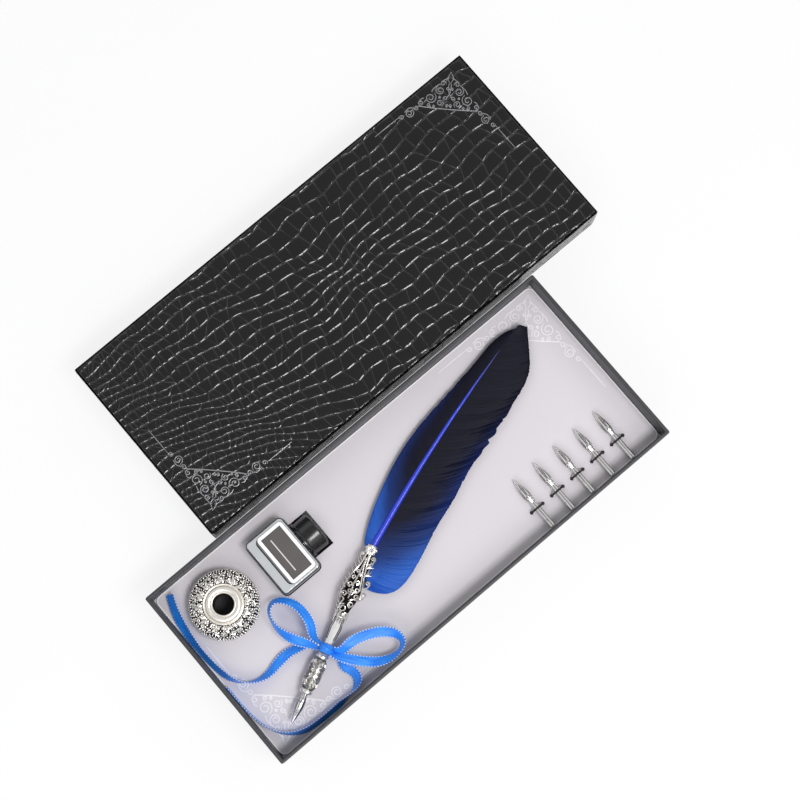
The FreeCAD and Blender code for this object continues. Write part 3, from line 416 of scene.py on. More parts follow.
def satin_weave_group():
    group, given, out = new_group("satin_weave", [("Vector", "Vector", None), ("Threads", "Float", 2600.0)],
                                  [("Shade", "Float"), ("Height", "Float")])
    parts = split(group, given.outputs["Vector"])
    waves = []
    for socket, factor in (("X", 1.0), ("Y", 2.6)):
        place = math_node(group, "MULTIPLY", parts[socket], given.outputs["Threads"])
        waves.append(math_node(group, "SINE", math_node(group, "MULTIPLY", place, factor * 2 * math.pi)))
    woven = math_node(group, "MULTIPLY_ADD", math_node(group, "ADD", waves[0], waves[1]), 0.25, 0.5)
    stretched = mapped(group, given.outputs["Vector"], Scale=(120.0, 1600.0, 1.0))
    put(group, out.inputs["Shade"], texture(group, "Noise", stretched, Scale=1.0, Detail=3.0)["Fac"])
    put(group, out.inputs["Height"], woven)
    return group


def place_group(tree, group, vector, **values):
    return add(tree, "ShaderNodeGroup", {"Vector": vector, **values}, node_tree=group).outputs


paper_fibre = paper_fibre_group()
antique_tarnish = tarnish_group()
satin_weave = satin_weave_group()
print("groups", [group.name for group in bpy.data.node_groups])

# %% [markdown]
# Many plain surfaces need no more than two tones and a grain: the fibres of paper, the cells of foam or a
# soft cloud. One function makes them all, and the same grain that mixes the tones also lifts the surface.

# %% Two-tone materials
def two_tone(name, base, roughness, metallic, grain, scale, dark, light, bump=0.0, strength=0.5, **sockets):
    material, tree, shader, place = start_material(name, tone(*base), roughness, metallic, **sockets)
    if grain == "fibre":
        fibre = place_group(tree, paper_fibre, place, Scale=scale)
        shade, height = fibre["Shade"], fibre["Height"]
    elif grain == "cells":
        shade = height = texture(tree, "Voronoi", place, Scale=scale)["Distance"]
    else:
        shade = height = texture(tree, "Noise", place, Scale=scale, Detail=2.0)["Fac"]
    feed(shader, Base_Color=mix_colours(tree, shade, tone(*dark), tone(*light)))
    if bump:
        add_bump(tree, shader, height, bump, strength)
    return material


print("two-tone materials ready")

# %% [markdown]
# A blue satin ribbon is tied round the pen: two loops and two long tails that wander over the card. Its
# middle line is a NURBS spline that a few given points pull along, and it bends as softly as ribbon does.
# The pen lies at a slant, so places on it are counted along its own axes, in millimetres from the nib's tip.

# %% Pen axes and splines
tray_length, tray_width = 0.285, 0.119
pen_turn = math.atan2(tray_width * 0.9193, tray_length * 0.8197)
pen_tip = np.array((-tray_length * 0.4358, -tray_width * 0.3815, 0.0279))
pen_ahead = np.array((math.cos(pen_turn), math.sin(pen_turn), 0.0))
pen_left = np.array((-math.sin(pen_turn), math.cos(pen_turn), 0.0))


def on_pen(places):
    places = np.asarray(places, float) * mm
    return (pen_tip + places[..., :1] * pen_ahead + places[..., 1:2] * pen_left
            + places[..., 2:3] * np.array((0.0, 0.0, 1.0)))


def spline_points(name, route):
    curve = bpy.data.curves.new(name, "CURVE")
    curve.dimensions = "3D"
    curve.resolution_u = 10
    spline = curve.splines.new("NURBS")
    spline.points.add(len(route) - 1)
    for point, place in zip(spline.points, route):
        point.co = (*place, 1.0)
    spline.order_u = 3
    spline.use_endpoint_u = True
    item = new_object(name, curve)
    mesh = bpy.data.meshes.new_from_object(item)
    points = np.array([vertex.co[:] for vertex in mesh.vertices])
    bpy.data.objects.remove(item)
    bpy.data.curves.remove(curve)
    bpy.data.meshes.remove(mesh)
    keep = np.append(True, np.linalg.norm(np.diff(points, axis=0), axis=1) > 1e-4)
    return points[keep]


print("pen turned by", round(math.degrees(pen_turn), 2), "degrees")

# %% [markdown]
# A band is laid along the points of the spline. A small frame travels with it: one direction ahead, one across
# the ribbon and one out of its face. A list of tilts says where the band stands on edge (0 degrees) and where
# it shows its face (90 degrees, or less than 0 for the other face).

# %% Ribbon band
def ribbon_frame(line, tilts):
    ahead = np.gradient(line, axis=0)
    ahead /= np.linalg.norm(ahead, axis=1)[:, None]
    along = np.append(0.0, np.cumsum(np.linalg.norm(np.diff(line, axis=0), axis=1)))
    left = np.cross((0.0, 0.0, 1.0), ahead)
    left /= np.linalg.norm(left, axis=1)[:, None]
    upright = np.cross(ahead, left)
    angle = np.radians(np.interp(along / along[-1], *zip(*tilts)))
    for _ in range(6):
        angle[1:-1] = (angle[:-2] + angle[1:-1] + angle[2:]) / 3
    across = np.cos(angle)[:, None] * upright + np.sin(angle)[:, None] * left
    return along, across, np.cross(ahead, across)


ribbon_width = 0.006


def ribbon_band(line, tilts, width=ribbon_width, thickness=0.0004, columns=9):
    along, across, face = ribbon_frame(line, tilts)
    places = np.linspace(-0.5, 0.5, columns)
    cup = 0.0003 * (1 - (2 * places) ** 2)
    ring = [(place, lift + thickness / 2) for place, lift in zip(places, cup)]
    ring += [(place, lift - thickness / 2) for place, lift in zip(places[::-1], cup[::-1])]
    points, uv = [], []
    for index in range(len(line)):
        for place, lift in ring:
            points.append(line[index] + place * width * across[index] + lift * face[index])
            uv.append((along[index], place * width))
    count = len(ring)
    faces = [face_ids[::-1] for face_ids in grid_faces(len(line), count, False, True)]
    faces += [tuple(range(count)), tuple(range(len(points) - count, len(points)))[::-1]]
    return (points, faces, 0.0), uv


print("ribbon band ready")

# %% [markdown]
# Each ribbon leaves the knot beside the pen, wanders over the card and, if it is a loop, comes back. The route
# is in metres in the shared frame. Only the places where it leaves and comes back are counted on the pen.

# %% Ribbon routes
ribbon_routes = {
    "bow_loop_left": ([(46.4, 4.5), (46.4, 8.5)], [
        (-0.0806, -0.0095, 0.0316), (-0.0800, 0.0020, 0.0316), (-0.0844, 0.0098, 0.0314),
        (-0.0900, 0.0132, 0.0310), (-0.0956, 0.0097, 0.0306), (-0.0977, 0.0000, 0.0308),
        (-0.0944, -0.0108, 0.0312)], [(43.6, 8.5), (43.6, 4.5)], 0.0316),
    "bow_loop_right": ([(46.4, -4.5), (46.4, -8.5)], [
        (-0.0705, -0.0324, 0.0316), (-0.0617, -0.0349, 0.0318), (-0.0535, -0.0392, 0.0316),
        (-0.0478, -0.0452, 0.0312), (-0.0476, -0.0512, 0.0308), (-0.0522, -0.0542, 0.0306),
        (-0.0596, -0.0539, 0.0308), (-0.0664, -0.0508, 0.0310), (-0.0732, -0.0444, 0.0314)],
        [(43.6, -8.5), (43.6, -4.5)], 0.0316),
    "ribbon_tail_left": ([(45.0, 4.5), (45.0, 8.5)], [
        (-0.0940, -0.0164, 0.0252), (-0.1015, -0.0142, 0.0246), (-0.1095, -0.0150, 0.0248),
        (-0.1177, -0.0166, 0.0253), (-0.1258, -0.0148, 0.0253), (-0.1322, -0.0100, 0.0250),
        (-0.1360, -0.0026, 0.0250), (-0.1376, 0.0062, 0.0250), (-0.1382, 0.0158, 0.0250),
        (-0.1380, 0.0268, 0.0250), (-0.1366, 0.0378, 0.0249), (-0.1342, 0.0470, 0.0250),
        (-0.1312, 0.0535, 0.0253)], [], 0.0253),
    "ribbon_tail_right": ([(45.0, -4.5), (45.0, -8.5)], [
        (-0.0824, -0.0400, 0.0250), (-0.0800, -0.0450, 0.0246), (-0.0800, -0.0500, 0.0247),
        (-0.0834, -0.0532, 0.0249), (-0.0890, -0.0546, 0.0250), (-0.0970, -0.0550, 0.0250),
        (-0.1060, -0.0551, 0.0250), (-0.1146, -0.0548, 0.0250), (-0.1220, -0.0536, 0.0250),
        (-0.1285, -0.0500, 0.0251), (-0.1335, -0.0450, 0.0252), (-0.1368, -0.0382, 0.0253),
        (-0.1387, -0.0300, 0.0253), (-0.1394, -0.0215, 0.0253), (-0.1394, -0.0135, 0.0253),
        (-0.1395, -0.0070, 0.0253)], [], 0.0253),
}
ribbon_tilts = {
    "bow_loop_left": [(0, 25), (0.12, 62), (0.34, 52), (0.5, 26), (0.62, 12), (0.72, 35), (0.85, 76), (1, 30)],
    "bow_loop_right": [(0, 30), (0.14, 82), (0.34, 84), (0.47, 36), (0.55, 24), (0.64, 50), (0.76, 84),
                       (0.9, 80), (1, 30)],
    "ribbon_tail_left": [(0, 20), (0.08, 48), (0.2, 74), (0.3, 46), (0.4, 6), (0.52, -34), (0.7, -34),
                         (0.84, -54), (0.93, -50), (1, -46)],
    "ribbon_tail_right": [(0, 20), (0.1, 74), (0.18, 58), (0.25, 6), (0.32, -30), (0.54, -26), (0.66, -10),
                          (0.75, 3), (1, 3)],
}
ribbon_lines = {}
for name, (leave, route, back, level) in ribbon_routes.items():
    rise = (level - pen_tip[2]) / mm
    start = [tuple(point) for point in on_pen([(x, y, rise) for x, y in leave])]
    end = [tuple(point) for point in on_pen([(x, y, rise) for x, y in back])] if back else []
    ribbon_lines[name] = spline_points(name + "_line", start + route + end)
    print(name, "line of", len(ribbon_lines[name]), "points")

# %% [markdown]
# Satin is shiny along its threads, and this one is a little deeper in colour at its edges. The material reads
# the band's own UV map, which is measured in metres along and across the ribbon, so the threads keep their
# size round every bend. Close to both edges a row of silver stitches runs along it.

# %% Satin and thread
def satin_blue():
    material, tree, shader, _ = start_material("satin_blue", tone(36, 128, 234), 0.34, Sheen_Weight=0.3,
                                               Sheen_Roughness=0.4, Sheen_Tint=tone(140, 190, 255), Anisotropic=0.4)
    across = add(tree, "ShaderNodeUVMap", uv_map="UVMap").outputs["UV"]
    woven = place_group(tree, satin_weave, across, Threads=2600.0)
    streaks = mix_colours(tree, ramp(tree, woven["Shade"], 0.3, 0.7), tone(16, 112, 230), tone(52, 154, 254))
    parts = split(tree, across)
    edge = ramp(tree, math_node(tree, "ABSOLUTE", parts["Y"]), 0.0024, 0.0030)
    feed(shader, Base_Color=mix_colours(tree, math_node(tree, "MULTIPLY", edge, 0.6), streaks, tone(16, 82, 190)))
    add_bump(tree, shader, woven["Height"], 0.00005, 0.5)
    return material


satin = satin_blue()
thread = two_tone("silver_thread", (226, 230, 238), 0.35, 0.25, "cloud", 2400.0, (204, 210, 224), (250, 251, 254))
print("materials", satin.name, thread.name)

# %% [markdown]
# Stitches repeat along a path, which is what Geometry Nodes do best. The tree takes the edge lines of the
# ribbons as a mesh of edges, turns them into curves, puts a small stretched ball at every pitch, and
# realizes the result, so that it can become a plain mesh that travels with the pen.

# %% Stitch tree
def link_all(tree, rows):
    for start, output, end, socket in rows:
        tree.links.new(start.outputs[output], end.inputs[socket])


def realize(tree, start, given, label, out):
    real, paint = add(tree, "GeometryNodeRealizeInstances"), add(tree, "GeometryNodeSetMaterial")
    link_all(tree, [(start, 0, real, 0), (real, 0, paint, 0), (given, label, paint, "Material"), (paint, 0, out, 0)])
    return tree


def stitch_tree():
    tree, given, out = new_group("edge_stitches", [
        ("Geometry", "Geometry", None), ("Pitch", "Float", 0.0017), ("Length", "Float", 0.00058),
        ("Thickness", "Float", 0.00040), ("Thread", "Material", None)], [("Geometry", "Geometry")], "GeometryNodeTree")
    curve = add(tree, "GeometryNodeMeshToCurve")
    spaced = add(tree, "GeometryNodeResampleCurve", mode="LENGTH")
    ball = add(tree, "GeometryNodeMeshIcoSphere", {"Radius": 1.0, "Subdivisions": 1})
    tangent = add(tree, "GeometryNodeInputTangent")
    turn = add(tree, "FunctionNodeAlignRotationToVector", axis="X")
    size = add(tree, "ShaderNodeCombineXYZ")
    copies = add(tree, "GeometryNodeInstanceOnPoints")
    link_all(tree, [
        (given, "Geometry", curve, "Mesh"), (curve, "Curve", spaced, "Curve"), (given, "Pitch", spaced, "Length"),
        (spaced, "Curve", copies, "Points"), (ball, "Mesh", copies, "Instance"), (tangent, "Tangent", turn, "Vector"),
        (turn, "Rotation", copies, "Rotation"), (given, "Length", size, "X"), (given, "Thickness", size, "Y"),
        (given, "Thickness", size, "Z"), (size, 0, copies, "Scale")])
    return realize(tree, copies, given, "Thread", out)


def grow(name, mesh, tree, **values):
    item = new_object(name, mesh)
    nodes = item.modifiers.new("grow", "NODES")
    nodes.node_group = tree
    for socket in tree.interface.items_tree:
        if socket.item_type == "SOCKET" and socket.in_out == "INPUT" and socket.name in values:
            nodes[socket.identifier] = values[socket.name]
    shape = bpy.data.meshes.new_from_object(item.evaluated_get(bpy.context.evaluated_depsgraph_get()))
    item.modifiers.remove(nodes)
    item.data = shape
    bpy.data.meshes.remove(mesh)
    shape.name = name
    return item


stitches = stitch_tree()
print("stitch tree with", len(stitches.nodes), "nodes")

# %% [markdown]
# Two lines near its edges are kept for the stitches, which become one piece.

# %% Lay the ribbons
stitch_points, stitch_edges, stitch_place = [], [], 0.0028
for name, line in ribbon_lines.items():
    shape, uv = ribbon_band(line, ribbon_tilts[name])
    piece = make_piece("satin_" + name, shape, satin, "pen", "ribbon", [name], uv=uv, sharp=60.0, weld=False)
    along, across, face = ribbon_frame(line, ribbon_tilts[name])
    for side in (-1, 1):
        edge = line + side * stitch_place * across + 0.0001 * face
        first = len(stitch_points)
        stitch_points += [tuple(point) for point in edge]
        stitch_edges += [(first + index, first + index + 1) for index in range(len(edge) - 1)]
edge_lines = bpy.data.meshes.new("ribbon_stitches")
edge_lines.from_pydata(stitch_points, stitch_edges, [])
set_piece(grow("ribbon_stitches", edge_lines, stitches, Pitch=0.0017, Thread=thread), "pen")

# %% [markdown]
# The knot is the same ribbon wound once round the handle and pulled tight. Its folds run round it, so the
# shape is a closed band on an oval, swollen in the middle, with creases that fade and gather as they go
# round. A second, slanting turn lies over the top and hides where the loops go in.

# %% Tie the knot
def knot_band(middle, width, half_y, half_z, lift, slant, creases, seed):
    count, columns = 64, 13
    turns = np.arange(count) * 2 * math.pi / count
    noise = np.random.default_rng(seed).uniform(0, 2 * math.pi, 3)
    points, uv = [], []
    for turn in turns:
        squeeze = 1 - 0.14 * math.cos(turn - math.pi / 2) ** 8
        outer = []
        for share in np.linspace(-1, 1, columns):
            fold = 0.00022 * math.sin(creases * math.pi * share + noise[0] + 1.2 * math.sin(turn + noise[1]))
            swell = 0.0005 * (1 - share ** 2) + fold * (1 - share ** 4)
            along = middle + share * width / 2 * squeeze + slant * math.cos(turn)
            outer.append((along, (half_y + swell + lift) * math.cos(turn), (half_z + swell + lift) * math.sin(turn)))
        inner = [(a, b * 0.9, c * 0.9) for a, b, c in outer[::-1]]
        points += outer + inner
        uv += [(turn * half_y, share * width / 2) for share in np.linspace(-1, 1, columns)]
        uv += [(turn * half_y, share * width / 2) for share in np.linspace(1, -1, columns)]
    points = on_pen(np.array(points) / mm)
    points[:, 2] += 0.00105
    return (points, grid_faces(count, 2 * columns, True, True), 0.0), uv


shape_low, uv_low = knot_band(0.045, 0.0056, 0.0040, 0.0060, 0.0, 0.0, 2.5, 3)
shape_top, uv_top = knot_band(0.045, 0.0034, 0.0040, 0.0060, 0.0005, 0.0007, 1.5, 5)
make_piece("satin_bow_knot", join_shapes([shape_low, shape_top]), satin, "pen", "ribbon", ["bow_knot"], True,
           uv=uv_low + uv_top, sharp=60.0, weld=False)

# %% [markdown]
# The tray is rigid board covered in charcoal paper: outside, over the rim and down to the card. The CAD
# skin has knife edges, but paper folds round board with a small radius. So one closed profile, with rounded
# folds, is carried round a rectangle with rounded corners.

# %% Tray paper
def rounded_ring(half_x, half_y, radius, steps, centre):
    ring = []
    for sign_x, sign_y, start in ((1, 1, 0), (-1, 1, 90), (-1, -1, 180), (1, -1, 270)):
        for step in range(steps + 1):
            angle = math.radians(start + 90 * step / steps)
            ring.append((centre[0] + sign_x * (half_x - radius) + radius * math.cos(angle),
                         centre[1] + sign_y * (half_y - radius) + radius * math.sin(angle)))
    return ring


def swept_wall(half_x, half_y, corner, profile, centre=(0.0, 0.0), steps=5, close=True):
    points = []
    for inset, z in profile:
        ring = rounded_ring(half_x - inset, half_y - inset, max(corner - inset, 0.0002), steps, centre)
        points += [(x, y, z) for x, y in ring]
    return points, grid_faces(len(profile), 4 * (steps + 1), close, True), 0.0


def fold(inset, z, radius, start, end, steps=4):
    angles = np.radians(np.linspace(start, end, steps + 1))
    return [(inset + radius * math.cos(a), z + radius * math.sin(a)) for a in angles]


def box_paper(name, dark, light, roughness, bump):
    material, tree, shader, place = start_material(name, dark, roughness)
    fibre = place_group(tree, paper_fibre, place, Scale=1500.0)
    feed(shader, Base_Color=mix_colours(tree, fibre["Shade"], dark, light))
    rough = math_node(tree, "MULTIPLY_ADD", fibre["Shade"], 0.22, roughness - 0.1)
    feed(shader, Roughness=rough)
    add_bump(tree, shader, fibre["Height"], bump, 0.6)
    return material


charcoal_paper = box_paper("charcoal_paper", tone(48, 48, 51), tone(66, 66, 69), 0.42, 0.00006)
wall, rim, card_under = 0.0021, 0.038, 0.0212
paper, rim_fold = 0.0003, 0.0006
rim_profile = [(0.0, 0.0)] + fold(rim_fold, rim - rim_fold, rim_fold, 180, 90)
rim_profile += fold(wall - rim_fold, rim - rim_fold, rim_fold, 90, 0)
rim_profile += [(wall, card_under), (wall - paper, card_under), (wall - paper, rim - 0.0004), (paper, rim - 0.0004),
                (paper, 0.0)]
make_piece("tray_paper", swept_wall(0.1425, 0.0595, 0.0011, rim_profile), charcoal_paper, "tray", "charcoal_paper",
           ["tray_wrap"])

# %% [markdown]
# Where the board itself shows, under the lid and inside the tray, it is pulp board: grey, with fibres and
# dark flecks in it. The CAD shape is right as it is, so it only takes a material.

# %% Greyboard
def dress(node, material):
    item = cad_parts[node]
    item.data.materials.clear()
    item.data.materials.append(material)
    print(node, "wears", material.name)


def grey_board():
    material, tree, shader, place = start_material("grey_board", tone(150, 146, 140), 0.85)
    fibre = place_group(tree, paper_fibre, place, Scale=700.0)
    flecks = texture(tree, "Voronoi", place, Scale=420.0)
    speck = ramp(tree, flecks["Distance"], 0.20, 0.05)
    shade = mix_colours(tree, fibre["Shade"], tone(128, 124, 118), tone(168, 164, 158))
    feed(shader, Base_Color=mix_colours(tree, math_node(tree, "MULTIPLY", speck, 0.5), shade, tone(92, 88, 82)))
    add_bump(tree, shader, fibre["Height"], 0.0001, 0.7)
    return material


board = grey_board()
dress("tray_board", board)
dress("lid_board", board)

# %% [markdown]
# A pale lilac-grey card covers the foam, with the pockets cut out of it. Its cut edge is white, and so is a
# hair of its face where the print stops. That needs the distance to a rectangle with round corners, which is
# worked out from the Object coordinates: the corner radius is taken off the sides first and given back last.

# %% Insert card
def rounded_distance(tree, place, centre, half, radius):
    away = vector_math(tree, "ABSOLUTE", vector_math(tree, "SUBTRACT", place, (*centre, 0.0))[0])[0]
    over = vector_math(tree, "SUBTRACT", away, (half[0] - radius, half[1] - radius, 1.0))[0]
    reach = vector_math(tree, "LENGTH", vector_math(tree, "MAXIMUM", over)[0])["Value"]
    parts = split(tree, over)
    inner = math_node(tree, "MINIMUM", math_node(tree, "MAXIMUM", parts["X"], parts["Y"]), 0.0)
    return math_node(tree, "SUBTRACT", radius, math_node(tree, "ADD", reach, inner))


def lilac_card():
    material, tree, shader, place = start_material("lilac_card", tone(213, 208, 213), 0.6)
    fibre = place_group(tree, paper_fibre, place, Scale=1100.0)
    cloud = texture(tree, "Noise", place, Scale=14.0, Detail=2.0)
    printed = mix_colours(tree, cloud["Fac"], tone(209, 204, 209), tone(219, 214, 218))
    printed = mix_colours(tree, math_node(tree, "MULTIPLY", fibre["Shade"], 0.25), printed, tone(199, 195, 200))
    inside = rounded_distance(tree, place, (0.0, 0.0), (0.1401, 0.0571), 0.004)
    bare = ramp(tree, inside, 0.0010, 0.0004)
    feed(shader, Base_Color=mix_colours(tree, bare, printed, tone(246, 245, 246)))
    add_bump(tree, shader, fibre["Height"], 0.00004, 0.4)
    return material


card_paper = lilac_card()
dress("insert_card", card_paper)

# %% [markdown]
# Under the card lies a bed of foam: a plain sheet with blocks on it. Foam has soft edges and open cells.
# The CAD blocks are copied, welded, rounded with a small bevel and given a cellular surface.

# %% Foam bed
foam_nodes = ["foam_bed", "foam_rest_block", "foam_near_block", "foam_back_block", "foam_end_block"]
foam = bmesh.new()
for node in foam_nodes:
    foam.from_mesh(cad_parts[node].data)
bmesh.ops.remove_doubles(foam, verts=foam.verts, dist=2e-6)
bmesh.ops.dissolve_limit(foam, angle_limit=math.radians(2), verts=foam.verts, edges=foam.edges)
foam_mesh = bpy.data.meshes.new("foam_blocks")
foam.to_mesh(foam_mesh)
foam.free()
foam_mesh.materials.clear()
foam_mesh.materials.append(two_tone("white_foam", (206, 205, 208), 0.95, 0.0, "cells", 900.0, (176, 175, 180),
                                    (222, 221, 224), 0.0003, 0.8))
foam_piece = new_object("foam_blocks", foam_mesh)
soft_edges = foam_piece.modifiers.new("soft_edges", "BEVEL")
soft_edges.width = 0.0004
soft_edges.segments = 2
soft_edges.limit_method = "ANGLE"
set_piece(foam_piece, "tray", foam_nodes)

# %% [markdown]
# The lid wears paper embossed like crocodile: wavy rows of cushioned scales with narrow grooves between them.
# A bump texture would look flat from the side, so the scales are real. The rows start as straight bands that
# are cut across at uneven lengths, and one function then bends every corner: rows fan out from one end, sway,
# and gather round a few centres. What reaches past the panel is clipped away, one edge at a time.

# %% Scale rows
def scale_rows(length, width, pitch, gathers, chance):
    def spread(x):
        return 0.60 + 0.40 * np.clip(x / 0.12, 0, 1) ** 1.3

    def bend(spots):
        x, v = spots[:, 0], spots[:, 1]
        wave = 0.0015 * np.sin(x * 61 + v * 40) + 0.0010 * np.sin(x * 150 + v * 90) + 0.0003 * np.sin(x * 330 + v * 420)
        out = np.column_stack([x, width - (width - v) * spread(x) + wave])
        for centre, radius, pull in gathers:
            away = out - np.array(centre)
            out = out - pull * away * np.exp(-(away ** 2).sum(1) / (2 * radius ** 2))[:, None]
        return out

    cells = []
    for v in np.arange(-0.70 * width - 0.01, width + 0.01, pitch):
        cuts = [-0.012 * chance.uniform(0.5, 1.0)]
        while cuts[-1] < length + 0.008:
            cuts.append(cuts[-1] + pitch * spread(max(cuts[-1], 0.0)) ** 2 * chance.uniform(0.6, 1.7))
        lean = chance.normal(0, 0.10 * pitch, len(cuts))
        for i in range(len(cuts) - 1):
            low = np.linspace(cuts[i] - lean[i], cuts[i + 1] - lean[i + 1], 4)
            high = np.linspace(cuts[i + 1] + lean[i + 1], cuts[i] + lean[i], 4)
            outline = np.column_stack([np.append(low, high), np.repeat([v, v + pitch], 4)])
            cells.append(clip_cell(bend(outline), length, width))
    return [cell for cell in cells if len(cell) > 2]


def clip_cell(cell, length, width):
    for axis, limit, sign in ((0, 0.0, 1), (0, length, -1), (1, 0.0, 1), (1, width, -1)):
        kept = []
        for index in range(len(cell)):
            here, there = np.array(cell[index]), np.array(cell[(index + 1) % len(cell)])
            gap_here, gap_there = sign * (here[axis] - limit), sign * (there[axis] - limit)
            if gap_here >= 0:
                kept.append(here)
            if gap_here * gap_there < 0:
                kept.append(here + (there - here) * gap_here / (gap_here - gap_there))
        cell = kept
        if len(cell) < 3:
            return []
    return np.array(cell)


print("scale rows ready")

# %% [markdown]
# Each scale is a small cushion whose rim sinks into the paper below. Three rings of the cell's own outline,
# drawn in and lifted step by step, give it a steep side and a gently domed top. A little chance in height and
# lean keeps the rows from looking machine made.

# %% Scale cushions
def scale_cushions(cells, height, groove, chance):
    shapes = []
    for cell in cells:
        middle = cell.mean(0)
        spread = np.linalg.norm(cell - middle, axis=1).mean()
        half = np.abs(cell - middle).max(0)
        if spread < 0.0006:
            continue
        rise = height * min(1.0, spread / 0.0026) * chance.uniform(0.7, 1.1)
        lean = chance.normal(0, 0.010)
        rings = []
        for inset, level in ((0.0, -0.00009), (groove, 0.50 * rise), (2.2 * groove, 0.85 * rise)):
            shrink = np.maximum(1 - inset * np.array((0.5, 1.0)) / half, 0.15)
            ring = middle + (cell - middle) * shrink
            rings.append(np.column_stack([ring, level + min(inset, groove) / groove * lean * (ring[:, 1] - middle[1])]))
        points = np.vstack(rings + [np.append(middle, rise)[None]])
        count = len(cell)
        faces = grid_faces(3, count, False, True)
        faces += [(2 * count + i, 2 * count + (i + 1) % count, 3 * count) for i in range(count)]
        shapes.append((points, faces, np.repeat([1.0, 0.35, 0.0], count).tolist() + [0.0]))
    return join_shapes(shapes)


print("scale cushions ready")

# %% [markdown]
# The embossed paper is black and glossy, and duller in patches of its grooves, where the light then breaks into
# short glints. Its grooves are also painted darker than the scales, which is painted shade. A panel of scales is
# worked out flat and then carried to its place by an origin and two edge directions.

# %% Crocodile paper
def crocodile_paper():
    material, tree, shader, place = start_material("crocodile_paper", tone(11, 11, 11), 0.24, 0.0,
                                                   Specular_IOR_Level=0.8)
    fibre = place_group(tree, paper_fibre, place, Scale=1300.0)
    hollow = add(tree, "ShaderNodeAttribute", attribute_name="recess").outputs["Fac"]
    paper = mix_colours(tree, fibre["Shade"], tone(7, 7, 7), tone(17, 17, 16))
    # Painted shade: the deeper a point lies in a groove, the darker its colour.
    feed(shader, Base_Color=mix_colours(tree, ramp(tree, hollow, 0.3, 1.0), paper, tone(4, 4, 4)))
    worn = texture(tree, "Noise", place, Scale=620.0, Detail=2.0, Roughness=0.6)
    dull = math_node(tree, "MULTIPLY", ramp(tree, worn["Fac"], 0.51, 0.62), ramp(tree, hollow, 0.1, 0.4))
    gloss = math_node(tree, "MULTIPLY_ADD", fibre["Shade"], 0.12, 0.09)
    feed(shader, Roughness=math_node(tree, "MULTIPLY_ADD", dull, 0.5, gloss))
    add_bump(tree, shader, fibre["Height"], 0.00005, 0.5)
    return material


def panel(origin, along, across, length, width, gathers, seed, pitch=0.0080):
    chance = np.random.default_rng(seed)
    cells = scale_rows(length, width, pitch, gathers, chance)
    points, faces, mask = scale_cushions(cells, 0.00025, 0.00058, chance)
    along, across = np.array(along, float), np.array(across, float)
    out = np.cross(along, across)
    placed = np.array(origin) + points[:, :1] * along + points[:, 1:2] * across + points[:, 2:3] * out
    return placed, faces, mask


croc = crocodile_paper()
print("material", croc.name)

# %% [markdown]
# The paper on the lid is one closed shell with rounded folds. Five panels of scales lie on it: the top and
# the four walls. Near the folds the cells are cut off straight, and a plain sheet closes the shell under the
# scales in the middle of the top.

# %% Lid shell and panels
lid_low, lid_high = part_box("lid_wrap")
lid_half = ((lid_high.x - lid_low.x) / 2, (lid_high.y - lid_low.y) / 2)
lid_centre = ((lid_high.x + lid_low.x) / 2, (lid_high.y + lid_low.y) / 2)
lid_top = lid_high.z
skin, round_fold, crushed = 0.00022, 0.0011, 0.00014
margin, overlap = 0.030, 0.0002
shell_profile = [(0.0004, 0.0), (skin, paper), (skin, lid_top - round_fold)]
shell_profile += fold(skin + round_fold, lid_top - skin - round_fold - crushed, round_fold, 180, 107, 5)[1:]
shell_profile += [(skin + 1.25 * round_fold, lid_top - skin), (margin, lid_top - skin), (margin, lid_top - paper),
                  (paper, lid_top - paper), (paper, 0.0)]
shell = swept_wall(*lid_half, 0.0012, shell_profile, lid_centre, 4, True)
fill_x, fill_y = (half - margin + overlap for half in lid_half)
top_fill = [(lid_centre[0] + sx * fill_x, lid_centre[1] + sy * fill_y, lid_top - skin - 0.00002)
            for sx, sy in ((-1, -1), (1, -1), (1, 1), (-1, 1))]
edge, foot = round_fold + skin, 0.0006
long_side, short_side, tall = 2 * (lid_half[0] - edge), 2 * (lid_half[1] - edge), lid_top - edge - foot
x0, x1, y0, y1 = lid_low.x, lid_high.x, lid_low.y, lid_high.y
panels = [
    panel((x0 + edge, y0 + edge, lid_top - skin + 0.00006), (1, 0, 0), (0, 1, 0), long_side, short_side,
          [((0.155, 0.066), 0.026, 0.45), ((0.06, 0.03), 0.03, 0.25)], 11),
    panel((x0 + edge, y0 + skin, foot), (1, 0, 0), (0, 0, 1), long_side, tall, [], 12),
    panel((x1 - edge, y1 - skin, foot), (-1, 0, 0), (0, 0, 1), long_side, tall, [], 13),
    panel((x1 - skin, y0 + edge, foot), (0, 1, 0), (0, 0, 1), short_side, tall, [], 14),
    panel((x0 + skin, y1 - edge, foot), (0, -1, 0), (0, 0, 1), short_side, tall, [], 15),
]
make_piece("lid_paper", join_shapes([shell, (top_fill, [(0, 1, 2, 3)], 0.5)] + panels), croc, "lid", "crocodile_paper",
           ["lid_wrap"], sharp=50.0, weld=False)

# %% [markdown]
# Corner scrollwork is stamped in silver foil on two corners of the lid, and printed in white on two corners
# of the card. It is traditional ornament: spirals, a lozenge and a straight arm each way. One half is drawn
# as lines, mirrored on the diagonal, and laid down as very flat wires.

# %% Corner scrollwork
def spiral(centre, outer, inner, start, turns, steps=26):
    share = np.linspace(0, 1, steps)
    angle = math.radians(start) + share * turns * 2 * math.pi
    radius = outer + (inner - outer) * share ** 0.8
    return np.column_stack([centre[0] + radius * np.cos(angle), centre[1] + radius * np.sin(angle)])


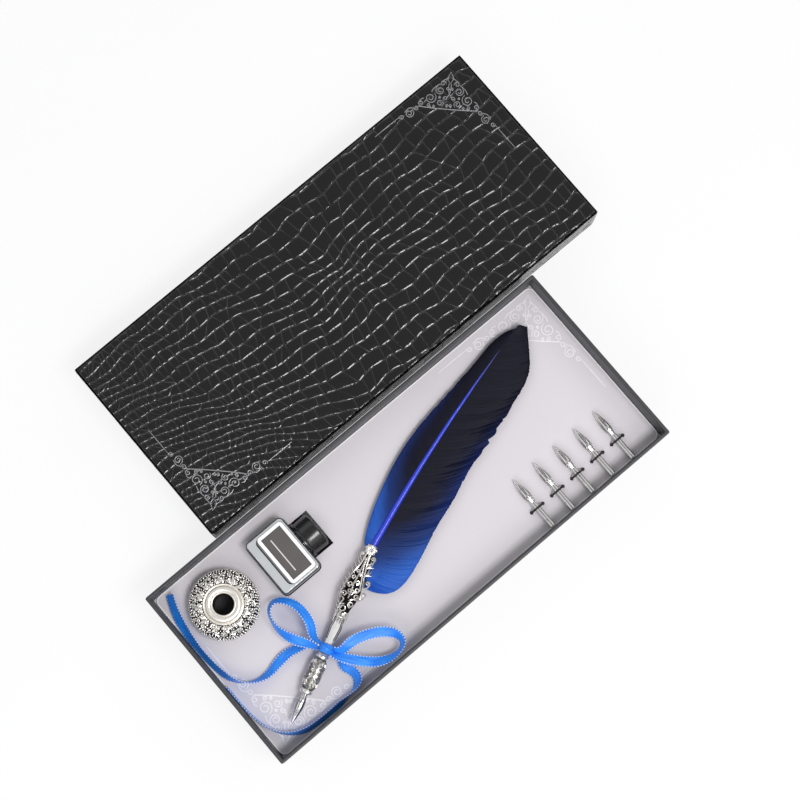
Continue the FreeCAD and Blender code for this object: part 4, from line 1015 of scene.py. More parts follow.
def corner_half():
    curls = [(7.4, 1.7, 1.8, 120, 1.3), (11.4, 3.6, 2.9, -100, 1.6), (18.7, 3.3, 3.7, 190, -1.6),
             (24.9, 2.2, 1.8, 60, -1.3), (28.9, 2.4, 1.7, -60, 1.3), (34.2, 2.6, 2.9, 200, -1.6),
             (39.0, 1.3, 1.6, -60, 1.3), (16.6, 9.3, 2.3, 80, 1.45), (22.2, 5.9, 1.3, 120, -1.3),
             (12.3, 9.2, 1.5, 30, -1.3), (13.2, 14.4, 1.1, 30, 1.3), (20.6, 8.2, 0.9, 0, 1.2),
             (7.6, 5.8, 1.1, 90, 1.2), (14.4, 6.3, 0.8, 0, 1.2)]
    lines = [(spiral((x, y), radius, 0.24 * radius, start, turns), 0.58) for x, y, radius, start, turns in curls]
    lines += [(np.array([(40.4, 0.6), (50.0, 0.5), (58.5, 0.5)]), 0.66)]
    for stem in ([(2.2, 1.4), (4.6, 0.6), (7.6, 0.2)], [(8.6, 0.7), (13.0, 0.2), (16.0, 1.0)],
                 [(21.6, 1.0), (23.4, 0.4), (26.4, 1.2)], [(30.4, 1.4), (32.4, 0.0), (36.0, 0.4)],
                 [(5.0, 3.8), (8.4, 8.0), (9.6, 12.0)]):
        lines.append((smooth_line(stem, 12), 0.58))
    return lines


def corner_scroll(apex, along, across, z, width_share, flat, size=1.0):
    lines = []
    for line, width in corner_half():
        lines += [(line, width), (line[:, ::-1], width)]
    lines.append((smooth_line([(27.4, 2.6), (20.2, 10.4), (10.4, 20.2), (2.6, 27.4)], 30), 0.7))
    lozenge = np.array([(-0.6, -0.6), (3.4, 0.8), (4.6, 4.6), (0.8, 3.4)])
    shapes = []
    for line, width in lines:
        radius = taper(len(line), 0.5, 12) * width / 2 * width_share * mm
        spot = np.array(apex) + size * mm * (line[:, :1] * np.array(along) + line[:, 1:] * np.array(across))
        shapes.append(wire(np.column_stack([spot, np.full(len(spot), z)]), radius, 6, False, (0, 0, 1), flat))
    spot = np.array(apex) + size * mm * (lozenge[:, :1] * np.array(along) + lozenge[:, 1:] * np.array(across))
    shapes.append(wire(np.column_stack([spot, np.full(4, z)]), 0.3 * width_share * mm, 6, True, (0, 0, 1), flat))
    return join_shapes(shapes)


foil_z = lid_top + 0.00013
foil = join_shapes([corner_scroll((0.1864, 0.1816), (-1, 0), (0, -1), foil_z, 0.84, 0.14),
                    corner_scroll((-0.0817, 0.0749), (1, 0), (0, 1), foil_z, 0.84, 0.14)])
silver_foil = two_tone("silver_foil", (190, 190, 192), 0.32, 0.85, "fibre", 1600.0, (136, 136, 138), (216, 216, 218),
                       0.00003)
make_piece("lid_foil", foil, silver_foil, "lid", "crocodile_paper")
print_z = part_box("insert_card")[1].z + 0.00001
print_lines = join_shapes([corner_scroll((0.1351, 0.0529), (-1, 0), (0, -1), print_z, 1.0, 0.04, 1.18),
                           corner_scroll((-0.1345, -0.0515), (1, 0), (0, 1), print_z, 1.0, 0.04, 1.18)])
white_print = two_tone("white_print", (246, 244, 247), 0.5, 0.0, "fibre", 1400.0, (231, 228, 233), (244, 242, 245))
make_piece("card_print", print_lines, white_print, "tray", "printed_card")

# %% [markdown]
# The metals of the set are cast and antiqued: bright on the high parts, black where a polishing cloth
# can't reach. The shapes carry that as a mask, so the same shader darkens every hollow. The collar of the
# pen rest and the neck of the pen are polished and stay clear.

# %% Antique and polished silver
def antique_silver():
    material, tree, shader, place = start_material("antique_silver", tone(222, 219, 212), 0.28, 0.85)
    hollow = add(tree, "ShaderNodeAttribute", attribute_name="recess").outputs["Fac"]
    worn = place_group(tree, antique_tarnish, place, Recess=hollow, Scale=900.0)
    feed(shader, Base_Color=mix_colours(tree, worn["Dark"], tone(240, 237, 231), tone(24, 23, 23)))
    feed(shader, Roughness=math_node(tree, "MULTIPLY_ADD", worn["Dark"], 0.4, 0.24))
    add_bump(tree, shader, worn["Height"], 0.00006, 0.5)
    return material


def polished_silver(name, bright, cloudy, roughness):
    material, tree, shader, place = start_material(name, bright, roughness, 0.8)
    worn = place_group(tree, antique_tarnish, place, Recess=0.22, Scale=420.0)
    feed(shader, Base_Color=mix_colours(tree, worn["Dark"], bright, cloudy))
    feed(shader, Roughness=math_node(tree, "MULTIPLY_ADD", worn["Height"], 0.2, roughness - 0.08))
    add_bump(tree, shader, worn["Height"], 0.00003, 0.4)
    return material


antique = antique_silver()
collar_silver = polished_silver("collar_silver", tone(250, 245, 236), tone(206, 201, 193), 0.34)
neck_silver = polished_silver("neck_silver", tone(226, 225, 223), tone(120, 120, 123), 0.14)
print("metals", antique.name, collar_silver.name, neck_silver.name)

# %% [markdown]
# The pen rest is a cast ball with a round mouth for the nib. Its body is turned on a lathe: a profile of
# radius and height is carried round the middle. The body is the dark ground that the relief stands on.

# %% Pen rest ground and collar
def lathe(profile, steps, mask):
    profile = np.asarray(profile, float)
    turns = np.arange(steps) * 2 * math.pi / steps
    radius, height = profile[:, :1], profile[:, 1:]
    height = np.broadcast_to(height, (len(profile), steps))
    points = np.stack([radius * np.cos(turns), radius * np.sin(turns), height], 2)
    mask = np.repeat(np.broadcast_to(np.asarray(mask, float), len(profile)), steps)
    return points.reshape(-1, 3), grid_faces(len(profile), steps, False, True), mask


rest_low, rest_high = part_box("rest_bowl")
rest_middle = np.array(((rest_low.x + rest_high.x) / 2, (rest_low.y + rest_high.y) / 2, 0.0))
dome = smooth_line([(14.0, 14.5), (17.1, 18.8), (19.2, 23.2), (20.0, 27.0), (19.2, 29.9), (17.1, 32.0), (14.3, 33.2),
                    (11.3, 33.6)], 60) * mm
ground = dome.copy()
ground[:, 0] -= 0.00045
points, faces, mask = lathe(np.vstack([[(0.0136, 0.0153), (0.0136, 0.0145)], ground, [(0.0100, 0.0332)]]), 96, 1.0)
rest_ground = (points + rest_middle, faces, mask)
collar_profile = np.array([(11.6, 33.1), (11.75, 33.7), (11.4, 34.3), (10.9, 34.3), (10.7, 34.0), (10.4, 34.2),
                           (9.9, 35.0), (9.0, 35.5), (8.0, 35.5), (7.2, 35.0), (6.9, 34.6), (6.6, 34.7), (6.25, 34.6),
                           (6.05, 34.2), (6.05, 31.0), (6.9, 31.0), (6.9, 33.0), (11.6, 33.1)]) * mm
points, faces, mask = lathe(collar_profile, 96, 0.0)
make_piece("polished_collar", (points + rest_middle, faces, mask), collar_silver, "pen_rest", "silver_metal",
           ["rest_collar"], sharp=60.0)

# %% [markdown]
# Two small Geometry Nodes trees do the casting's repeating work. One turns a motif round an axis as often
# as it is asked to. The other puts a bead on every point it is given, with the size stored at that point.

# %% Ring and bead trees
def ring_tree():
    tree, given, out = new_group("motif_ring", [
        ("Geometry", "Geometry", None), ("Count", "Int", 12), ("Centre", "Vector", None), ("Axis", "Vector", (0, 0, 1)),
        ("Metal", "Material", None)], [("Geometry", "Geometry")], "GeometryNodeTree")
    dots = add(tree, "GeometryNodePoints")
    back = add(tree, "ShaderNodeVectorMath", {"Scale": -1.0}, operation="SCALE")
    home, place = add(tree, "GeometryNodeTransform"), add(tree, "GeometryNodeTransform")
    index = add(tree, "GeometryNodeInputIndex")
    turn = add(tree, "FunctionNodeAxisAngleToRotation")
    copies = add(tree, "GeometryNodeInstanceOnPoints")
    step = math_node(tree, "DIVIDE", 2 * math.pi, given.outputs["Count"])
    tree.links.new(math_node(tree, "MULTIPLY", index.outputs[0], step), turn.inputs["Angle"])
    link_all(tree, [
        (given, "Count", dots, "Count"), (given, "Centre", back, 0), (given, "Geometry", home, "Geometry"),
        (back, "Vector", home, "Translation"), (given, "Axis", turn, "Axis"), (dots, 0, copies, "Points"),
        (home, 0, copies, "Instance"), (turn, 0, copies, "Rotation"), (copies, 0, place, "Geometry"),
        (given, "Centre", place, "Translation")])
    return realize(tree, place, given, "Metal", out)


def bead_tree():
    tree, given, out = new_group("cast_beads", [("Geometry", "Geometry", None), ("Size", "Float", 1.0),
                                                ("Metal", "Material", None)],
                                 [("Geometry", "Geometry")], "GeometryNodeTree")
    ball = add(tree, "GeometryNodeMeshUVSphere", {"Radius": 1.0, "Segments": 8, "Rings": 5})
    smooth = add(tree, "GeometryNodeSetShadeSmooth")
    size = add(tree, "GeometryNodeInputNamedAttribute", {"Name": "bead_radius"}, data_type="FLOAT")
    copies = add(tree, "GeometryNodeInstanceOnPoints")
    tree.links.new(math_node(tree, "MULTIPLY", size.outputs[0], given.outputs["Size"]), copies.inputs["Scale"])
    link_all(tree, [(given, "Geometry", copies, "Points"), (ball, "Mesh", smooth, "Geometry"),
                    (smooth, 0, copies, "Instance")])
    return realize(tree, copies, given, "Metal", out)


motif_ring = ring_tree()
cast_beads = bead_tree()


def bead_points(name, places, radii, metal):
    mesh = bpy.data.meshes.new(name)
    mesh.from_pydata([tuple(place) for place in places], [], [])
    mesh.attributes.new("bead_radius", "FLOAT", "POINT").data.foreach_set("value", np.asarray(radii, np.float32))
    return grow(name, mesh, cast_beads, Size=1.0, Metal=metal)


print("ring tree and bead tree ready")

# %% [markdown]
# Round the collar runs a ring of scrolls, and below it the casting is pebbled. The scrolls are drawn flat,
# as an angle round the rest and a distance down its side, and then laid on the dome, half sunk in it.

# %% Pen rest relief
dome_down = dome[::-1]
dome_run = np.append(0.0, np.cumsum(np.linalg.norm(np.diff(dome_down, axis=0), axis=1)))


def on_dome(angle, down, lift=0.0):
    radius = np.interp(down, dome_run, dome_down[:, 0]) + lift
    height = np.interp(down, dome_run, dome_down[:, 1]) + lift * 0.6
    return np.stack([radius * np.cos(angle), radius * np.sin(angle), height], -1) + rest_middle


def dome_wire(line, radius, sides=6):
    line = np.asarray(line, float) * mm
    middle_radius = 0.0150
    spots = on_dome(line[:, 0] / middle_radius, line[:, 1])
    outward = spots - rest_middle - np.array((0.0, 0.0, 0.024))
    return wire(spots, radius * mm * taper(len(line), 0.6, 8), sides, False,
                outward / np.linalg.norm(outward, axis=1)[:, None])


motif = []
for side in (-1, 1):
    flip = np.array((side, 1.0))
    motif.append(dome_wire(spiral((1.75, 2.3), 1.45, 0.3, -150, 1.6, 22) * flip, 0.42))
    motif.append(dome_wire(smooth_line([(0.5, 2.4), (0.35, 4.4), (1.4, 6.2), (3.3, 6.9)], 14) * flip, 0.40))
    motif.append(dome_wire(spiral((2.3, 5.2), 0.95, 0.25, 60, -1.3, 16) * flip, 0.33))
motif.append(dome_wire(smooth_line([(0, 0.6), (0, 2.6), (0, 4.9)], 8), 0.5))
scroll_mesh = shape_mesh("rest_scrolls", join_shapes(motif), antique)
scrolls = grow("rest_scrolls", scroll_mesh, motif_ring, Count=12, Centre=tuple(rest_middle), Axis=(0, 0, 1),
               Metal=antique)
chance = np.random.default_rng(21)
places, radii = [], []
for row, down in enumerate(np.arange(1.3, 18.5, 1.32)):
    circle = 2 * math.pi * float(np.interp(down * mm, dome_run, dome_down[:, 0])) / mm
    count = int(circle / 1.62)
    for step in range(count):
        angle = 2 * math.pi * (step + 0.5 * (row % 2)) / count + chance.normal(0, 0.012)
        places.append(on_dome(angle, down * mm + chance.normal(0, 0.00012), -0.0001 if down > 7.5 else -0.0003))
        radii.append(chance.uniform(0.00048, 0.00072))
pebbles = bead_points("rest_pebbles", places, radii, antique)
make_piece("rest_ground", rest_ground, antique, "pen_rest", "silver_metal", ["rest_bowl"])
set_piece(scrolls, "pen_rest")
set_piece(pebbles, "pen_rest")

# %% [markdown]
# Inside the mouth sits a black plastic socket that steadies the nib, and under the rest a felt pad keeps
# it from scratching. Both keep their CAD shape.

# %% Socket and pad
def black_plastic(name, base, roughness, coat):
    material, tree, shader, place = start_material(name, base, roughness, 0.0, Coat_Weight=coat, Coat_Roughness=0.1)
    grain = texture(tree, "Noise", place, Scale=500.0, Detail=4.0)
    lighter = tuple(min(1.0, value * 2.2 + 0.004) for value in base[:3]) + (1.0,)
    feed(shader, Base_Color=mix_colours(tree, grain["Fac"], base, lighter))
    feed(shader, Roughness=math_node(tree, "MULTIPLY_ADD", grain["Fac"], 0.16, roughness - 0.08))
    add_bump(tree, shader, grain["Fac"], 0.00003, 0.4)
    return material


dress("rest_socket", black_plastic("socket_black", tone(12, 12, 13), 0.5, 0.0))
dress("rest_pad", two_tone("pad_felt", (36, 34, 36), 0.95, 0.0, "fibre", 1200.0, (24, 23, 25), (58, 55, 58), 0.0003,
                           0.8, Sheen_Weight=0.4))

# %% [markdown]
# The ink bottle lies on its back in its pocket: thick clear glass with a heavy base, ink up to a level, a
# paper label and a black screw cap. Glass needs two surfaces, an outer one and a cavity whose faces look
# into the air inside, or light bends wrongly. Both are the same cushion of rounded rings with its ends closed.

# %% Bottle glass and ink
def rounded_block(low, high, corner, ease, steps=5):
    low, high = np.array(low), np.array(high)
    half = (high - low) / 2
    centre = (low + high) / 2
    angles = np.radians(np.linspace(0, 90, 5))
    profile = [(ease - ease * math.sin(a), low[2] + ease - ease * math.cos(a)) for a in angles]
    profile += [(ease - ease * math.cos(a), high[2] - ease + ease * math.sin(a)) for a in angles]
    points, faces, _ = swept_wall(half[0], half[1], corner, profile, centre[:2], steps, False)
    count = 4 * (steps + 1)
    faces += [tuple(range(count))[::-1], tuple(range(len(points) - count, len(points)))]
    return points, faces, 0.0


def turned_in(shape):
    points, faces, mask = shape
    return points, [face[::-1] for face in faces], mask


glass_low, glass_high = (np.array(corner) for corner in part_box("bottle_glass"))
shoulder_x = glass_low[0] + 0.0265
body_high = np.array((shoulder_x, glass_high[1], glass_high[2]))
glass_thickness = 0.0026
hollow_low = glass_low + np.array((0.006, glass_thickness, glass_thickness))
hollow_high = body_high - glass_thickness


def bottle_clear():
    material, tree, shader, place = start_material("bottle_clear", (0.97, 0.98, 0.985, 1.0), 0.02, 0.0,
                                                   Transmission_Weight=0.4, IOR=1.5)
    ripple = texture(tree, "Noise", place, Scale=160.0, Detail=2.0)
    feed(shader, Roughness=math_node(tree, "MULTIPLY", ripple["Fac"], 0.05))
    add_bump(tree, shader, ripple["Fac"], 0.00012, 0.35)
    # Painted reflection and refraction: a dark line round the outer edge, a dark line round the ink's cavity and a grey
    # tone over the ink are painted into the glass's colour.
    edge, hollow = (rounded_distance(tree, place, (high + low)[:2] / 2, (high - low)[:2] / 2, corner)
                    for low, high, corner in ((glass_low, body_high, 0.0028), (hollow_low, hollow_high, 0.0030)))
    clear = mix_colours(tree, ramp(tree, edge, 0.0010, 0.0006), tone(238, 241, 242), tone(88, 92, 96))
    clear = mix_colours(tree, ramp(tree, hollow, 0.0002, 0.0007), clear, tone(150, 154, 157))
    rim = ramp(tree, math_node(tree, "ABSOLUTE", hollow), 0.0006, 0.0003)
    feed(shader, Base_Color=mix_colours(tree, rim, clear, tone(64, 68, 72)))
    return material


def laid_down(points, place):
    return np.array(place) + points[:, [2, 0, 1]]


clear_glass = bottle_clear()
label_low, label_high = (np.array(corner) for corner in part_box("bottle_label"))
cap_low, cap_high = (np.array(corner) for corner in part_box("cap_shell"))
outer = rounded_block(glass_low, body_high, 0.0028, 0.0016)
cavity = turned_in(rounded_block(hollow_low, hollow_high, 0.0030, 0.0020))
axis_y, axis_z = (glass_low[1] + glass_high[1]) / 2, (glass_low[2] + glass_high[2]) / 2
neck_profile = np.array([(6.5, 0.05), (8.6, 0.05), (8.6, 8.6), (8.2, 9.1), (6.9, 9.1), (6.5, 8.7), (6.5, 0.05)]) * mm
points, faces, mask = lathe(neck_profile[::-1], 48, 0.0)
neck_tube = (laid_down(points, (shoulder_x, axis_y, axis_z)), faces, 0.0)
make_piece("bottle_clear_glass", join_shapes([outer, cavity, neck_tube]), clear_glass, "ink_bottle", "glass",
           ["bottle_glass"], sharp=40.0)
ink_low, ink_high = (np.array(corner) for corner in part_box("ink_fill"))
ink_body = rounded_block(ink_low, ink_high, 0.0029, 0.0012)
black_ink = two_tone("black_ink", (10, 11, 18), 0.06, 0.0, "cloud", 120.0, (6, 7, 12), (20, 22, 34))
make_piece("bottle_ink", ink_body, black_ink, "ink_bottle", "ink", ["ink_fill"], sharp=40.0)

# %% [markdown]
# The pocket in the card is cut a little larger than the bottle, and a die can't cut a sharp inner corner. Four
# small fillets of card round the corners off: each is a corner point and a quarter circle, in two layers.

# %% Pocket corners
card_low, card_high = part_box("insert_card")
pocket_gap = 0.0005
fillets, bend = [], 0.0033
for corner_x, sx in ((glass_low[0] - pocket_gap, 1), (shoulder_x + pocket_gap, -1)):
    for corner_y, sy in ((glass_low[1] - pocket_gap, 1), (glass_high[1] + pocket_gap, -1)):
        curve = np.radians(np.linspace(0, 90, 9))
        plan = np.vstack([(corner_x, corner_y), np.column_stack([corner_x + sx * bend * (1 - np.cos(curve)),
                                                                 corner_y + sy * bend * (1 - np.sin(curve))])])
        layers = [np.column_stack([plan, np.full(10, z)]) for z in (card_low.z, card_high.z)]
        ends = [tuple(range(10))[::-1], tuple(range(10, 20))]
        fillets.append((np.vstack(layers), grid_faces(2, 10, False, True) + ends, 0.0))
make_piece("pocket_corners", join_shapes(fillets), card_paper, "tray", "printed_card", outward=True)

# %% [markdown]
# The label is white paper with a slate panel printed on it, and one fine rule. The panel, its white frame and
# the dark outline are bands of the same rounded distance that gave the card its white edge.

# %% Label
def label_print():
    middle = (label_low + label_high) / 2
    half = (label_high - label_low) / 2
    material, tree, shader, place = start_material("label_print", tone(244, 243, 242), 0.55)
    fibre = place_group(tree, paper_fibre, place, Scale=1400.0)
    inside = rounded_distance(tree, place, middle[:2], half[:2], 0.0024)
    slate = mix_colours(tree, fibre["Shade"], tone(74, 70, 69), tone(98, 94, 92))
    paper = mix_colours(tree, fibre["Shade"], tone(238, 237, 236), tone(252, 252, 252))
    drawn = mix_colours(tree, ramp(tree, inside, 0.00215, 0.00235), paper, tone(40, 38, 38))
    drawn = mix_colours(tree, ramp(tree, inside, 0.00250, 0.00270), drawn, slate)
    parts = split(tree, place)
    rule_x = float(label_low[0]) + 0.0066
    rule = math_node(tree, "ABSOLUTE", math_node(tree, "SUBTRACT", parts["X"], rule_x))
    span = math_node(tree, "ABSOLUTE", math_node(tree, "SUBTRACT", parts["Y"], float(middle[1])))
    line = math_node(tree, "MULTIPLY", ramp(tree, rule, 0.00040, 0.00025), ramp(tree, span, 0.0110, 0.0108))
    drawn = mix_colours(tree, line, drawn, tone(214, 212, 208))
    drawn = mix_colours(tree, ramp(tree, inside, 0.00030, 0.00012), drawn, tone(60, 58, 60))
    feed(shader, Base_Color=drawn)
    add_bump(tree, shader, fibre["Height"], 0.00003, 0.5)
    return material


dress("bottle_label", label_print())

# %% [markdown]
# The cap is turned black plastic: a wider ring at the bottom, a plain body, an eased top edge and fine
# grip lines. The profile runs along the bottle's own axis, so the lathe's result is laid on its side.

# %% Cap
cap_black = black_plastic("cap_black", tone(17, 17, 18), 0.26, 0.3)
cap_length = (cap_high[0] - cap_low[0]) / mm
cap_profile = np.array([(9.5, 0.0), (11.2, 0.0), (11.6, 0.3), (11.6, 1.7), (11.35, 2.0), (11.05, 2.2), (11.1, 2.6),
                        (11.25, cap_length - 1.4), (11.1, cap_length - 0.7), (10.6, cap_length - 0.15),
                        (9.9, cap_length), (9.2, cap_length - 0.25), (0.0, cap_length - 0.25), (0.0, cap_length - 1.5),
                        (9.5, cap_length - 1.5), (9.5, 0.0)]) * mm
points, faces, mask = lathe(cap_profile, 120, 0.0)
height = points[:, 2]
side = (height > 0.0027) & (height < cap_high[0] - cap_low[0] - 0.0012) & (np.hypot(*points[:, :2].T) > 0.0105)
points[side, :2] *= (1 - 0.006 * (np.arange(len(points))[side] % 2))[:, None]
make_piece("screw_cap", (laid_down(points, (cap_low[0], axis_y, axis_z)), faces, mask), cap_black, "cap", "cap_plastic",
           ["cap_shell"], sharp=40.0)
dress("cap_liner", two_tone("liner_foam", (226, 224, 218), 0.7, 0.0, "cells", 1800.0, (208, 206, 200), (236, 235, 230),
                            0.0001))

# %% [markdown]
# The nibs are stamped from bright steel. The CAD blades are already rolled, vented and slit, so they keep
# their shape. The shader adds fine polishing lines along each nib and a smoky tint, and paints the flanks where the
# blade turns down dark, a painted shade and dark reflection. PINGPONG repeats the same painted flanks at every
# pitch, so one material serves the whole row.

# %% Nib steel
def nib_steel(name, turn, middle, pitch):
    material, tree, shader, place = start_material(name, tone(230, 229, 226), 0.22, 1.0)
    turned = mapped(tree, place, Rotation=(0.0, 0.0, turn), Location=(-middle, 0.0, 0.0))
    lines = texture(tree, "Noise", mapped(tree, turned, Scale=(1.0, 0.06, 1.0)), Scale=3000.0, Detail=3.0)["Fac"]
    smoke = texture(tree, "Noise", place, Scale=420.0, Detail=3.0, Roughness=0.6)["Fac"]
    steel = mix_colours(tree, lines, tone(224, 223, 220), tone(250, 249, 247))
    steel = mix_colours(tree, ramp(tree, smoke, 0.56, 0.80), steel, tone(132, 129, 125))
    parts = split(tree, turned)
    across = math_node(tree, "PINGPONG", parts["X"], pitch / 2)
    # Painted shade and dark reflection: the farther from the nib's middle line, the darker the flank.
    feed(shader, Base_Color=mix_colours(tree, ramp(tree, across, 0.0013, 0.0025), steel, tone(44, 42, 40)))
    feed(shader, Roughness=math_node(tree, "MULTIPLY_ADD", lines, 0.14, 0.12))
    add_bump(tree, shader, lines, 0.00003, 0.4)
    return material


print("nib steel ready")

# %% [markdown]
# Thin raised lines stand for the pattern that the die left: a leaf with two veins, two curls and a collar, with a
# ring round the vent. They are coloured dark metal, which is painted shade in the embossing, and the ring is painted
# shade round the vent. They are drawn flat and then dropped onto the blade: a BVH tree tells where a ray from
# above first meets the nib.

# %% Stamping
from mathutils.bvhtree import BVHTree


def top_of(node):
    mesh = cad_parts[node].data
    corners = [vertex.co.copy() for vertex in mesh.vertices]
    tree = BVHTree.FromPolygons(corners, [polygon.vertices[:] for polygon in mesh.polygons])

    def drop(spots):
        out = []
        for x, y in spots:
            hit = tree.ray_cast(Vector((x, y, 0.06)), Vector((0, 0, -1)))
            if hit[0] is not None:
                out.append((x, y, hit[0].z))
        return np.array(out)
    return drop


def stamping(node, tip, ahead, left, material, name, body):
    drop = top_of(node)
    leaf = smooth_line([(3.2, 0.0), (6.4, 0.62), (9.2, 0.5), (11.0, 0.0)], 14)
    vein = np.array([(8.4, 0.95), (10.6, 1.45), (12.2, 1.5)])
    lines = [leaf, leaf * (1, -1)] + [spiral((12.6, 0.75 * side), 0.55, 0.12, 180, -1.2 * side, 14) for side in (1, -1)]
    lines += [np.array([(14.6, side) for side in np.linspace(-1.3, 1.3, 9)]), vein, vein * (1, -1)]
    ring = np.linspace(0, 2 * math.pi, 13)
    lines.append(np.column_stack([6.9 + 0.6 * np.cos(ring), 0.6 * np.sin(ring)]))
    shapes = []
    for line in lines:
        flat = np.asarray(tip[:2]) + mm * (line[:, :1] * np.asarray(ahead[:2]) + line[:, 1:] * np.asarray(left[:2]))
        spots = drop(flat)
        if len(spots) > 3:
            shapes.append(wire(spots, 0.00016, 5))
    make_piece(name, join_shapes(shapes), material, body, "nib_metal")


# Painted shade: the stamping lines take a dark metal colour for the shade in the embossing and round the vent.
def painted_stamp_shade():
    material, tree, shader, place = start_material("painted_stamp_shade", tone(96, 93, 90), 0.35, 1.0)
    worn = place_group(tree, antique_tarnish, place, Recess=0.5, Scale=1400.0)
    feed(shader, Base_Color=mix_colours(tree, worn["Dark"], tone(170, 167, 162), tone(44, 42, 40)))
    return material


spare_middle = [sum(corner.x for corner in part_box(f"spare_nib_{index}")) / 2 for index in (1, 2)]
# Both nib steels paint their flanks dark, a painted shade and dark reflection.
spare_steel = nib_steel("spare_nib_steel", 0.0, spare_middle[0], spare_middle[1] - spare_middle[0])
pen_upright = math.pi / 2 - pen_turn
pen_middle = float(Matrix.Rotation(pen_upright, 3, "Z")[0].dot(Vector(pen_tip)))
pen_steel = nib_steel("pen_nib_steel", pen_upright, pen_middle, 0.2)
stamp_shade_metal = painted_stamp_shade()
for index in range(1, 6):
    node = f"spare_nib_{index}"
    low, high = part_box(node)
    dress(node, spare_steel)
    stamping(node, ((low.x + high.x) / 2, high.y), (0, -1), (1, 0), stamp_shade_metal, f"nib_stamping_{index}", node)
dress("pen_nib", pen_steel)
dress("nib_collet", pen_steel)
stamping("pen_nib", pen_tip, pen_ahead, pen_left, stamp_shade_metal, "pen_nib_stamping", "pen_nib")

# %% [markdown]
# A loop of thin black elastic holds each spare nib. It comes up through the card, bows over the shank and
# goes down again, and a tiny knot shows where it meets the card. Its cover is braided, so the tube swells
# and narrows a little along its length, and small cells roughen its surface.

# %% Elastics
elastic = two_tone("elastic_black", (20, 20, 21), 0.75, 0.0, "cells", 2200.0, (12, 12, 13), (46, 46, 48), 0.0001, 0.7)
arch = smooth_line([(-4.2, 19.0), (-4.2, 21.6), (-4.0, 23.6), (-2.7, 25.9), (0.0, 26.75), (2.7, 25.9), (4.0, 23.6),
                    (4.2, 21.6), (4.2, 19.0)], 54)
for index in range(1, 6):
    node = f"elastic_loop_{index}"
    low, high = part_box(node)
    middle = np.array(((low.x + high.x) / 2, (low.y + high.y) / 2, 0.0))
    path = middle + np.column_stack([arch[:, 0], np.zeros(len(arch)), arch[:, 1]]) * mm
    cord_shape = wire(path, 0.0006 * (1 + 0.06 * np.sin(np.arange(len(path)) * 1.9)), 10, False, (0, 1, 0))
    knots = []
    for side in (-1, 1):
        turns = np.linspace(0, 2 * math.pi, 14, endpoint=False)
        ring = np.column_stack([side * 4.2 + 0.55 * np.cos(turns), 0.55 * np.sin(turns), np.full(14, 22.55)]) * mm
        knots.append(wire(middle + ring, 0.00048, 8, True))
    make_piece(f"elastic_{index}", join_shapes([cord_shape] + knots), elastic, "tray", "elastic", [node], sharp=70.0)

# %% [markdown]
# The handle of the pen is cast like the rest. The grip is a slim barrel covered in scrolls, with rings at
# both ends. Its ground is turned on the pen's own axis and kept dark, and the scrolls are drawn on the
# unrolled barrel: one direction along the pen, the other round it.

# %% Grip
def pen_lathe(profile, steps, mask):
    points, faces, mask = lathe(np.asarray(profile, float)[:, ::-1], steps, mask)
    return on_pen(points[:, [2, 0, 1]]), faces, mask


def pen_wire(line, profile, radius, lift):
    line = np.asarray(line, float)
    reach = np.interp(line[:, 0], *np.asarray(profile).T) + lift
    angle = line[:, 1] / np.asarray(profile)[:, 1].max()
    spots = on_pen(np.column_stack([line[:, 0], reach * np.cos(angle), reach * np.sin(angle)]))
    outward = np.cos(angle)[:, None] * pen_left + np.sin(angle)[:, None] * np.array((0.0, 0.0, 1.0))
    return wire(spots, radius * mm * taper(len(line), 0.55, 8), 6, False, outward)


grip_outline = [(17.5, 2.1), (17.5, 2.9), (18.0, 3.5), (18.9, 3.85), (19.8, 3.5), (20.2, 3.15), (20.8, 3.2),
                (21.6, 3.7), (24.0, 4.05), (29.0, 4.3), (34.0, 4.15), (37.2, 3.7), (38.2, 3.2), (38.8, 3.2),
                (39.4, 3.6), (40.2, 3.75), (40.9, 3.4), (41.0, 2.6)]
grip_mask = [0.9, 0.5, 0.1, 0.0, 0.2, 0.62, 0.62, 0.57, 0.56, 0.56, 0.56, 0.57, 0.62, 0.62, 0.2, 0.0, 0.3, 0.8]
barrel = [(21.0, 3.75), (24.0, 4.1), (29.0, 4.35), (34.0, 4.2), (38.0, 3.6)]
grip_shapes = [pen_lathe(grip_outline, 48, grip_mask)]
around = 2 * math.pi * 4.35
for column in range(6):
    middle = around * column / 6
    for start, flip in ((22.2, 1), (30.1, -1)):
        sway = flip if column % 2 else -flip
        scroll = smooth_line([(start, -0.9 * sway), (start + 2.0, -1.5 * sway), (start + 3.9, 0.0),
                              (start + 5.8, 1.5 * sway), (start + 7.6, 0.9 * sway)], 22)
        curls = [spiral((start + 1.4, -0.35 * sway), 0.95, 0.22, 200, 1.2 * sway, 14),
                 spiral((start + 6.3, 0.35 * sway), 0.95, 0.22, 20, 1.2 * sway, 14)]
        for line in [scroll] + curls:
            grip_shapes.append(pen_wire(line + np.array((0.0, middle)), barrel, 0.50, 0.06))
make_piece("scrolled_grip", join_shapes(grip_shapes), antique, "pen", "silver_metal", ["pen_grip"], sharp=45.0)
dress("pen_neck", neck_silver)

# %% [markdown]
# The ferrule that holds the feather is openwork over a core painted black, which is painted shade inside the
# openwork, and its lower scrolls reach down onto the neck. The lines are drawn as they are seen from above, as a
# place along the pen and a distance to the side, and then dropped onto a turned bulb. The same lines serve the
# underside. Six dark lines run along the neck's ridges: painted reflection, standing for the dark reflections on
# its polished facets.

